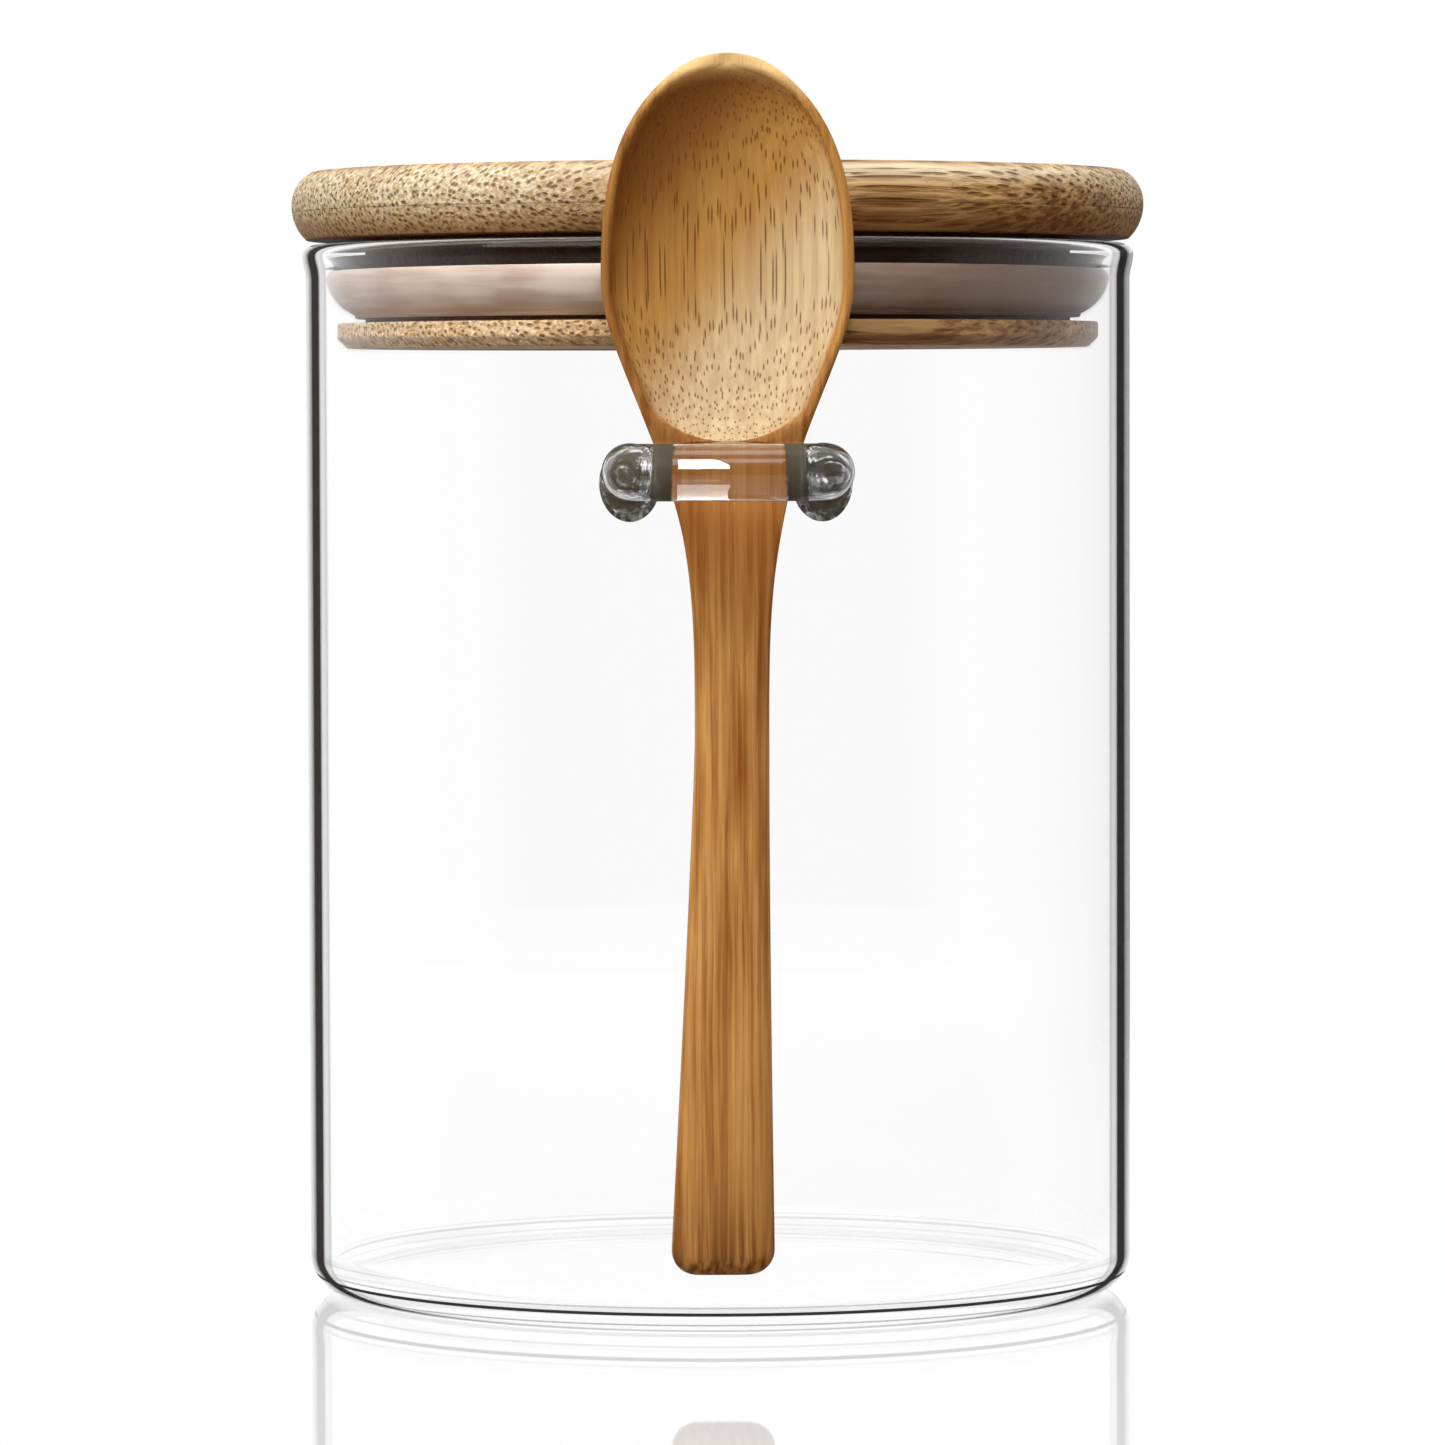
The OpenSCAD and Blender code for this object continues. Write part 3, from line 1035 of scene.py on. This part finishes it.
@dataclass
class SpoonLoop:
    """Bent glass rod whose two feet are fused to the front of the wall."""

    jar: Jar
    bar_y: float
    rod: float = 6.5
    clear_width: float = 15.7
    drop: float = 27.0
    bend: float = 5.0
    foot_flare: float = 1.2
    foot_spread: float = 0.35
    foot_edge: float = 0.4
    foot_sag: float = 1.4
    foot_steps: int = 9
    sink: float = 0.35
    hold: float = 0.3
    round_steps: int = 64
    bend_steps: int = 20

    @property
    def leg_x(self) -> float:
        """Returns the distance of each leg's centre from the middle."""
        return (self.clear_width + self.rod) / 2

    @staticmethod
    def _next_ring(bm: BMesh, ring: Edges, move: Matrix) -> Edges:
        """Extrudes a ring of edges and moves the new one.

        Args:
            bm: The rod so far.
            ring: Its open ring of edges.
            move: Where the new ring goes, from the old one.

        Returns:
            The new ring of edges.
        """
        made = bmesh.ops.extrude_edge_only(bm, edges=ring)["geom"]
        verts = [item for item in made if isinstance(item, BMVert)]
        bmesh.ops.transform(bm, matrix=move, space=Matrix.Identity(4), verts=verts)
        return [item for item in made if isinstance(item, BMEdge)
                and all(vert in verts for vert in item.verts)]

    def _foot_ring(self, index: int, start: Vector) -> Matrix:
        """Places a ring of the right leg's flared foot.

        Args:
            index: The ring's number. The last one lies a little inside the wall.
            start: The centre of ring 0, at the end of the straight leg.

        Returns:
            What turns a round ring 2 mm wide about the Y axis into this one.
        """
        share = min(1.0, index / self.foot_steps)
        turn = math.asin(self.leg_x / self.jar.radius)
        wall_y = -self.jar.radius * math.cos(turn)
        y = mix(start.y, wall_y - self.foot_edge, share)
        if index > self.foot_steps:
            y = wall_y + self.sink
        bulge = 1 - math.sqrt(1 - share * share)
        wide = self.rod / 2 + self.foot_spread * bulge
        tall = self.rod / 2 + self.foot_flare * bulge
        centre = Vector((self.leg_x, y, start.z - self.foot_sag * ease(share)))
        turned = Matrix.Rotation(turn * share, 4, "Z") @ Matrix.Diagonal((wide, 1, tall, 1))
        return Matrix.Translation(centre) @ turned

    def build(self) -> Piece:
        """Returns the loop as one closed solid of glass."""
        height = self.jar.height - self.drop
        bend_y = self.bar_y + self.bend
        foot_y = -self.jar.radius - self.foot_flare - self.foot_edge
        bm = bmesh.new()
        bmesh.ops.create_circle(
            bm, cap_ends=False, segments=self.round_steps, radius=self.rod / 2,
            matrix=Matrix.Translation((0, self.bar_y, height)) @ Matrix.Rotation(math.pi / 2, 4, "Y"),
        )
        ring = bm.edges[:]
        for run in (self.leg_x - self.bend - self.hold, self.hold):
            ring = self._next_ring(bm, ring, Matrix.Translation((run, 0, 0)))
        made = bmesh.ops.spin(
            bm, geom=ring + list({vert for edge in ring for vert in edge.verts}),
            cent=(self.leg_x - self.bend, bend_y, height), axis=(0, 0, 1), dvec=(0, 0, 0),
            angle=math.pi / 2, steps=self.bend_steps, use_merge=False, use_duplicate=False,
        )["geom_last"]
        ring = [item for item in made if isinstance(item, BMEdge)]
        start = Vector((self.leg_x, foot_y, height))
        for run in (self.hold, foot_y - bend_y - 2 * self.hold, self.hold):
            ring = self._next_ring(bm, ring, Matrix.Translation((0, run, 0)))
        for index in range(self.foot_steps + 1):
            move = self._foot_ring(index + 1, start) @ self._foot_ring(index, start).inverted()
            ring = self._next_ring(bm, ring, move)
        bmesh.ops.edgeloop_fill(bm, edges=ring)
        bmesh.ops.mirror(
            bm, geom=bm.verts[:] + bm.edges[:] + bm.faces[:], matrix=Matrix.Identity(4),
            merge_dist=MERGE_MM, axis="X",
        )
        close(bm)
        return Piece(finish_piece(bm, "glass_loop"), "spoon_loop", "jar", "glass")


@dataclass
class Lid:
    """Push-in bamboo lid: two boards glued into a disc, and a turned plug with a flange."""

    jar: Jar
    overhang: float = 1.7
    top_board: float = 4.9
    lower_board: float = 3.3
    top_round: float = 4.4
    under_round: float = 5.8
    widest_at: float = 4.2
    edge_min: float = 0.1
    rim_gap: float = 0.6
    core_height: float = 10.1
    groove: float = 3.4
    flange: float = 3.0
    flange_gap: float = 1.5
    chamfer: float = 1.2
    glue_line: float = 0.08
    flange_soft: float = 0.25
    edge_steps: int = 16

    @property
    def radius(self) -> float:
        """Returns the radius of the disc."""
        return self.jar.radius + self.overhang

    @property
    def disc_z(self) -> float:
        """Returns the height of the disc's lower face."""
        return self.jar.height + self.rim_gap

    @property
    def flange_radius(self) -> float:
        """Returns the radius of the plug's flange."""
        return self.jar.mouth - self.flange_gap

    @property
    def core_radius(self) -> float:
        """Returns the radius of the plug's core."""
        return self.flange_radius - self.groove

    @property
    def flange_top(self) -> float:
        """Returns the height of the flange's upper face."""
        return self.disc_z - self.core_height

    def _edge(self, height: float) -> float:
        """Returns how far the disc reaches from the axis at a height.

        Args:
            height: The height above the table.

        Returns:
            The distance from the axis.
        """
        widest = self.disc_z + self.widest_at
        top = self.disc_z + self.lower_board + self.top_board
        round_z = max(widest + self.edge_min, top - self.top_round)
        if height < widest:
            rise = widest - height
            return self.radius - self.under_round + math.sqrt(self.under_round ** 2 - rise ** 2)
        rise = max(0.0, height - round_z)
        return self.radius - self.top_round + math.sqrt(self.top_round ** 2 - rise ** 2)

    def _board(self, low: float, high: float) -> BMesh:
        """Makes the slice of the disc between two heights.

        Args:
            low: The lower height.
            high: The upper height.

        Returns:
            The board.
        """
        steps = self.edge_steps
        heights = [mix(low, high, index / steps) for index in range(steps + 1)]
        side = [Corner(self._edge(height), height) for height in heights]
        return lathe([Corner(0, low), *side, Corner(0, high)], soft=self.glue_line)

    def build(self) -> list[Piece]:
        """Returns the two boards, the core and the flange."""
        joint = self.disc_z + self.lower_board
        top = joint + self.top_board
        flange_z = self.flange_top - self.flange
        core = [
            Corner(0, self.flange_top), Corner(self.core_radius, self.flange_top),
            Corner(self.core_radius, self.disc_z), Corner(0, self.disc_z),
        ]
        flange = [
            Corner(0, flange_z), Corner(self.flange_radius - self.chamfer, flange_z),
            Corner(self.flange_radius, flange_z + self.chamfer),
            Corner(self.flange_radius, self.flange_top), Corner(0, self.flange_top),
        ]
        solids = {
            "lid_top_board": self._board(joint, top),
            "lid_lower_board": self._board(self.disc_z, joint),
            "plug_core": lathe(core),
            "plug_flange": lathe(flange, soft=self.flange_soft),
        }
        return [
            Piece(finish_piece(solid, "bamboo_" + node), node, "lid", "lid_bamboo")
            for node, solid in solids.items()
        ]


@dataclass
class Seal:
    """Silicone ring with an inner band round the plug and a lip that curves out to the glass."""

    jar: Jar
    lid: Lid
    thickness: float = 1.2
    lip_round: float = 5.6
    lip_straight: float = 0.5
    band: float = 5.2
    lift: float = 0.6
    core_play: float = 0.05
    lip_play: float = 0.1
    soft: float = 0.25
    steps: int = 14

    def build(self) -> Piece:
        """Returns the ring as one closed solid."""
        low = self.lid.flange_top + self.lift
        inner = self.lid.core_radius + self.core_play
        outer = self.jar.mouth - self.lip_play
        centre_x, centre_z = outer - self.lip_round, low + self.lip_round
        band_x = inner + self.thickness
        inside = self.lip_round - self.thickness
        start = -math.degrees(math.acos((band_x - centre_x) / self.lip_round))
        back = -math.degrees(math.acos((band_x - centre_x) / inside))
        top = centre_z + self.lip_straight
        section = [
            Corner(inner, low), Corner(band_x, low),
            *arc(centre_x, centre_z, self.lip_round, start, 0, self.steps),
            Corner(outer, top), Corner(outer - self.thickness, top),
            *arc(centre_x, centre_z, inside, 0, back, self.steps),
            Corner(band_x, low + self.band), Corner(inner, low + self.band),
        ]
        solid = lathe(section, ring=True, soft=self.soft)
        return Piece(finish_piece(solid, "silicone_seal"), "seal_ring", "seal", "silicone")


@dataclass
class Spoon:
    """Carved bamboo spoon: a bowl with a flat rim and a hollow, a neck and a flat handle."""

    tip_z: float
    end_z: float
    rim_y: float
    bowl_width: float = 28.8
    wide_at: float = 25.6
    neck_at: float = 78.5
    neck_width: float = 8.5
    end_width: float = 12.0
    end_round: float = 3.0
    handle: float = 4.5
    handle_step: float = 0.5
    bowl_depth: float = 8.5
    hollow_depth: float = 5.9
    rim: float = 1.15
    rim_soft: float = 0.4
    hollow_start: float = 1.6
    hollow_end: float = 44.0
    neck_drift: float = 0.4
    end_drift: float = 0.85
    tip_thickness: float = 1.4
    flat_power: float = 3.4
    tip_power: float = 2.67
    tip_roots: Span = (2.0, 1.79)
    tip_run: float = 3.0
    shoulder_power: float = 1.85
    handle_power: float = 1.2
    hollow_power: float = 2.1
    hollow_roots: Span = (1.8, 1.3)
    mouth_power: float = 3.0
    mouth_share: float = 0.9
    swell: Span = (2.2, 1.7)
    drift_at: float = 42.0
    drift_run: float = 14.0
    end_left: float = 0.35
    handle_lead: float = 16.0
    mark_depth: float = 1.6
    mark_edge: float = 0.12
    mark_run: float = 1.5
    mark_lead: float = 10.0
    back_steps: int = 36
    rim_steps: int = 4
    face_steps: int = 36
    crowding: float = 0.7
    tip_rings: int = 34
    bowl_rings: int = 30
    neck_rings: int = 22
    neck_crowding: float = 1.4
    handle_rings: int = 16
    end_rings: int = 12
    pole_gaps: Span = (0.02, 0.01)
    least_mouth: float = 0.02

    @property
    def length(self) -> float:
        """Returns the spoon's length."""
        return self.tip_z - self.end_z

    def half_width(self, s: float) -> float:
        """Gives half the spoon's width at a distance from its tip.

        Args:
            s: Distance below the tip.

        Returns:
            Half the width.
        """
        if s < self.wide_at:
            root = mix(*self.tip_roots, min(1.0, s / self.tip_run))
            round_tip = dome((self.wide_at - s) / self.wide_at, self.tip_power, root)
            return self.bowl_width / 2 * round_tip
        if s < self.neck_at:
            way = (self.neck_at - s) / (self.neck_at - self.wide_at)
            return mix(self.neck_width, self.bowl_width, ease(way ** self.shoulder_power)) / 2
        way = (s - self.neck_at) / (self.length - self.neck_at)
        past = max(0.0, s - (self.length - self.end_round))
        cut = self.end_round - math.sqrt(max(0.0, self.end_round ** 2 - past ** 2))
        return mix(self.neck_width, self.end_width, way ** self.handle_power) / 2 - cut

    def drift(self, s: float) -> float:
        """Gives the drift of the centre line.

        Args:
            s: Distance below the tip.

        Returns:
            How far it lies to the right.
        """
        back = max(0.0, s - self.neck_at) / (self.length - self.neck_at)
        right = self.neck_drift * ease((s - self.drift_at) / self.drift_run)
        return right - (self.neck_drift + self.end_drift) * back

    def _hollow_way(self, s: float) -> float:
        """Returns how far s lies from the deepest place of the hollow, 0, to its edge, 1."""
        if s < self.wide_at:
            return (self.wide_at - s) / (self.wide_at - self.hollow_start)
        return (s - self.wide_at) / (self.hollow_end - self.wide_at)

    def hollow(self, s: float) -> float:
        """Returns the depth of the hollow at distance s."""
        root = self.hollow_roots[0 if s < self.wide_at else 1]
        return self.hollow_depth * dome(self._hollow_way(s), self.hollow_power, root)

    def hollow_half(self, s: float) -> float:
        """Gives half the width of the hollow's mouth.

        Args:
            s: Distance below the tip.

        Returns:
            Half the width.
        """
        width = self.half_width(s)
        if s > self.hollow_end:
            return width * self.mouth_share
        power = self.tip_power if s < self.wide_at else self.mouth_power
        full = self.bowl_width / 2 - self.rim
        mouth = full * max(self.least_mouth, dome(self._hollow_way(s), power, 2))
        return min(max(width * self.mouth_share, width - self.rim), mouth)

    def _handle_share(self, s: float) -> float:
        """Returns how much of the handle's section there is in the back at distance s."""
        return ease((s - self.wide_at) / (self.neck_at - self.handle_lead - self.wide_at))

    def _back(self, s: float) -> float:
        """Returns how far the back lies behind the edge line at distance s."""
        if s < self.wide_at:
            swell = dome((self.wide_at - s) / self.wide_at, *self.swell)
            return mix(self.tip_thickness, self.bowl_depth, swell)
        return mix(self.bowl_depth, self.handle / 2, self._handle_share(s))

    def _neck_share(self, s: float) -> float:
        """Returns how far the face has turned from the bowl's rim to the handle's at s."""
        return ease((s - self.hollow_end) / (self.neck_at - self.hollow_end))

    def _end_share(self, s: float) -> float:
        """Returns how much of the thickness is left near the handle's end."""
        past = max(0.0, s - (self.length - self.handle / 2)) / (self.handle / 2)
        return max(self.end_left, math.sqrt(max(0.0, 1 - past ** 2)))

    def _spread(self, share: float) -> float:
        """Returns an angle from 0 to 180 degrees, in radians, with more steps near both ends."""
        return math.pi * (share - self.crowding * math.sin(2 * math.pi * share) / (2 * math.pi))

    def _section_point(self, s: float, column: int) -> tuple[float, float]:
        """Returns one point of the section at distance s.

        Args:
            s: Distance below the tip.
            column: The point's number, over the back from right to left and along the face.

        Returns:
            Its place to the right of the centre line and behind the edge line.
        """
        width = self.half_width(s)
        power = mix(2, self.flat_power, self._handle_share(s))
        thin = self._end_share(s)
        soft = self.rim_soft * (1 - self._handle_share(s)) * min(1.0, s / self.rim)
        if column <= self.back_steps:
            turn = self._spread(column / self.back_steps)
            depth = self._back(s) * thin - soft
            return (width * squared(math.cos(turn), power),
                    soft + depth * squared(math.sin(turn), power))
        index = column - self.back_steps
        whole = self.face_steps + 2 * self.rim_steps
        turn = self._spread(1 - index / whole)
        crown = self.handle / 2 * self._neck_share(s) * thin
        handle = (width * squared(math.cos(turn), power), -crown * squared(math.sin(turn), power))
        mouth = self.hollow_half(s)
        across = min(index, whole - index) / self.rim_steps
        if across <= 1:
            hand = -1 if index < whole / 2 else 1
            bowl = (hand * mix(width, mouth, across), soft * (2 * across - 1) ** 2)
        else:
            turn = self._spread(1 - (index - self.rim_steps) / self.face_steps)
            depth = max(self.hollow(s) - soft, 0.0)
            bowl = (mouth * math.cos(turn), soft + depth * math.sin(turn))
        lead = self.neck_at - self.handle_lead
        share = ease((s - self.hollow_end) / (lead - self.hollow_end))
        return mix(bowl[0], handle[0], share), mix(bowl[1], handle[1], share)

    def _stations(self) -> list[float]:
        """Returns the distances of the rings from the tip, close together where it is round."""
        def sweep(start: float, end: float, steps: int,
                  shape: Callable[[float], float]) -> list[float]:
            """Returns distances from start up to but not including end."""
            return [mix(start, end, shape(index / steps)) for index in range(steps)]

        def slowing(share: float) -> float:
            """Returns share bent so that the rings lie closer and closer together."""
            return math.sin(math.pi / 2 * share)

        tip_gap, end_gap = self.pole_gaps
        straight_end = self.length - self.end_round
        return [
            *sweep(tip_gap, self.wide_at, self.tip_rings, lambda t: 1 - math.cos(math.pi / 2 * t)),
            *sweep(self.wide_at, self.hollow_end, self.bowl_rings, slowing),
            *sweep(self.hollow_end, self.neck_at, self.neck_rings, lambda t: t ** self.neck_crowding),
            *sweep(self.neck_at, straight_end, self.handle_rings, lambda t: t),
            *sweep(straight_end, self.length, self.end_rings, slowing),
            self.length - end_gap,
        ]

    def _place(self, row: int, column: int, stations: Sequence[float]) -> tuple[Vector, float]:
        """Returns where a vertex of the spoon's skin goes, and how hollow the place is.

        Args:
            row: Its row, from the tip's pole to the pole in the handle's end.
            column: Its column, round the section.
            stations: The distances of the rings between the poles.

        Returns:
            The place, and a share from 0 outside to 1 in the hollow.
        """
        handle_y = self.rim_y + self.handle_step + self.handle / 2
        if row == 0:
            return Vector((self.drift(0), self.rim_y + self.tip_thickness / 2, self.tip_z)), 0.0
        if row == len(stations) + 1:
            return Vector((self.drift(self.length), handle_y, self.end_z)), 0.0
        s = stations[row - 1]
        x, y = self._section_point(s, column)
        edge_y = mix(self.rim_y, handle_y, self._neck_share(s))
        carved = 0.0
        if column > self.back_steps and s < self.hollow_end + 1:
            inside = ease((1 - abs(x) / self.hollow_half(s)) / self.mark_edge)
            inside *= ease((self.hollow_end + 1 - s) / self.mark_run)
            low = inside * ease((s - self.wide_at) / self.mark_lead)
            carved = max(ease((y - self.rim_soft) / self.mark_depth), low)
        return Vector((self.drift(s) + x, edge_y + y, self.tip_z - s)), carved

    def build(self) -> Piece:
        """Returns the spoon as one closed solid, with a mark on the carved hollow."""
        stations = self._stations()
        rows = len(stations) + 1
        columns = self.back_steps + self.face_steps + 2 * self.rim_steps
        bm = bmesh.new()
        bmesh.ops.create_grid(bm, x_segments=columns, y_segments=rows, size=0.5)
        mark = bm.verts.layers.float.new(SpoonBamboo.hollow_mark)
        for vert in bm.verts:
            column = round((vert.co.x + 0.5) * columns) % columns
            row = round((vert.co.y + 0.5) * rows)
            vert.co, vert[mark] = self._place(row, column, stations)
        close(bm)
        thing = finish_piece(bm, "bamboo_spoon")
        smooth = thing.modifiers.new("smooth", "SUBSURF")
        smooth.levels = smooth.render_levels = 1
        return Piece(thing, "spoon", "spoon", "spoon_bamboo")


# Studio


@dataclass(frozen=True)
class Softbox:
    """A soft rectangular lamp, in metres, aimed at the middle of the object."""

    name: str
    watts: float
    size: Span
    place: Place
    aim: Place = (0.0, 0.0, 0.07)

    def hang(self) -> None:
        """Adds the lamp to the scene."""
        data = bpy.data.lights.new(self.name, "AREA")
        data.shape, data.energy = "RECTANGLE", self.watts
        data.size, data.size_y = self.size
        lamp = bpy.data.objects.new(self.name, data)
        lamp.location = self.place
        aim = Vector(self.aim) - lamp.location
        lamp.rotation_euler = aim.to_track_quat("-Z", "Y").to_euler()
        bpy.context.scene.collection.objects.link(lamp)


@dataclass
class Studio:
    """White table and backdrop, soft key light from the upper left, and the camera.

    The runs are where a part of the backdrop begins and ends, as a part of its direction.
    """

    lens_mm: float = 185.95
    sensor_mm: float = 36.0
    clip: Span = (0.05, 20.0)
    eye_away: float = 909.0
    eye_height: float = 108.0
    eye_turn: float = 1.06
    eye_roll: float = -0.17
    aim_right: float = 0.43
    aim_height: float = 68.9
    table_radius: float = 600.0
    table_gap: float = 0.2
    table_sides: int = 96
    lamps: tuple[Softbox, ...] = (
        Softbox("key", 17.0, (1.46, 0.8), (-0.56, -0.72, 0.95)),
        Softbox("top", 6.0, (0.7, 0.7), (0.25, 0.0, 1.15)),
        Softbox("strip", 1.2, (0.014, 0.6), (0.01, -0.8, 0.62)),
    )
    ceiling_run: Span = (0.5, 0.6)
    ceiling_less: float = 0.8
    skylight_run: Span = (0.82, 0.92)
    skylight: float = 0.7
    front_run: Span = (-0.6, -0.2)
    front_level: float = 0.1
    mirrored_floor: float = 0.03
    mirrored_back_run: Span = (-0.2, 0.15)
    mirrored_top_run: Span = (0.5, 0.35)
    right_run: Span = (0.03, 0.1)
    horizon_run: Span = (0.05, 0.03)
    right_less: float = 0.8
    fill: float = 0.22
    fill_low: float = 0.3
    fill_run: Span = (-0.3, 0.4)
    fill_colour: Colour = (1.0, 0.78, 0.56)

    def camera(self) -> None:
        """Sets up the scene's camera."""
        data = bpy.data.cameras.new("camera")
        data.lens, data.sensor_width, data.sensor_fit = self.lens_mm, self.sensor_mm, "HORIZONTAL"
        data.clip_start, data.clip_end = self.clip
        turn = math.radians(self.eye_turn)
        eye = Vector((-self.eye_away * math.sin(turn), -self.eye_away * math.cos(turn),
                      self.eye_height)) * MM
        aim = Vector((self.aim_right, 0, self.aim_height)) * MM
        made = bpy.data.objects.new("camera", data)
        made.location = eye
        roll = Quaternion((0, 0, 1), math.radians(self.eye_roll))
        made.rotation_euler = ((aim - eye).to_track_quat("-Z", "Y") @ roll).to_euler()
        bpy.context.scene.collection.objects.link(made)
        bpy.context.scene.camera = made

    def world(self) -> None:
        """Makes a world with a white backdrop, a dark ceiling and front, and a warm fill."""
        world = bpy.data.worlds.new("studio")
        bpy.context.scene.world = world
        ink = Shader(world)
        right, back, up = ink.wire("TexCoord", output="Generated").parts()
        through = 1 - up.step(*self.ceiling_run) * self.ceiling_less
        through = through + up.step(*self.skylight_run) * self.skylight
        front = self.front_level + back.step(*self.front_run) * (1 - self.front_level)
        shaded = right.step(*self.right_run) * up.step(*self.horizon_run) * self.right_less
        lit = back.step(*self.mirrored_back_run) * up.step(*self.mirrored_top_run)
        mirrored = self.mirrored_floor + lit * (1 - self.mirrored_floor - shaded)
        seen, passed = ink.ray("Is Camera Ray"), ink.ray("Is Transmission Ray")
        matte = ink.ray("Diffuse Depth").at_most(1.0)
        shown = seen + (1 - seen) * (passed * through * front + (1 - passed) * mirrored)
        fill = self.fill_low + up.step(*self.fill_run) * (1 - self.fill_low)
        ink.finish(ink.node("Background", None, {
            0: ink.blend(matte, WHITE, self.fill_colour),
            1: shown * (1 - matte) + matte * (fill * self.fill),
        }))

    def table(self) -> Object:
        """Returns the round table top."""
        bm = bmesh.new()
        bmesh.ops.create_circle(
            bm, cap_ends=True, segments=self.table_sides, radius=self.table_radius,
        )
        bmesh.ops.translate(bm, vec=(0, 0, -self.table_gap), verts=bm.verts)
        made = finish_piece(bm, "table")
        made.data.materials.append(WhiteTable().make())
        return made

    def build(self) -> None:
        """Sets up the camera, the world, the table and the lights."""
        self.camera()
        self.world()
        self.table()
        for lamp in self.lamps:
            lamp.hang()
        bpy.context.scene.view_settings.view_transform = "Standard"


def main() -> None:
    """Builds the canister and its studio."""
    logging.basicConfig(level=logging.INFO, format="%(name)s: %(message)s")
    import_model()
    Studio().build()

    jar = Jar()
    lid = Lid(jar)
    spoon_low, spoon_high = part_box("spoon")
    loop_low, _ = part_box("spoon_loop")
    loop = SpoonLoop(jar, bar_y=loop_low[1] / MM + SpoonLoop.rod / 2)
    spoon = Spoon(tip_z=spoon_high[2] / MM, end_z=spoon_low[2] / MM, rim_y=spoon_low[1] / MM)

    jar.build().register(ClearGlass().make())
    loop.build().register(RodGlass().make())
    Seal(jar, lid).build().register(MilkySilicone().make())
    lid_bamboo = LidBamboo(
        name="lid_bamboo", fibre=Fibre.ACROSS_LID, light=shade(236, 198, 138),
        dark=shade(112, 62, 16), pore=shade(114, 74, 28), pore_spacing_mm=0.9,
        pore_radius=0.34, pore_strength=0.66, pore_run=0.3, relief_mm=0.7, roughness=0.5,
        seed=0.01, streak_share=0.65,
    ).make()
    for board in lid.build():
        board.register(lid_bamboo)
    spoon.build().register(SpoonBamboo(
        name="spoon_bamboo", fibre=Fibre.UPRIGHT, light=shade(224, 172, 102),
        dark=shade(142, 80, 26), pore=shade(106, 58, 14), pore_spacing_mm=0.56,
        pore_radius=0.23, pore_strength=0.72, pore_run=0.12, relief_mm=0.14, roughness=0.45,
        seed=0.02, wander_mm=0.6,
    ).make())


if __name__ == "__main__":
    main()
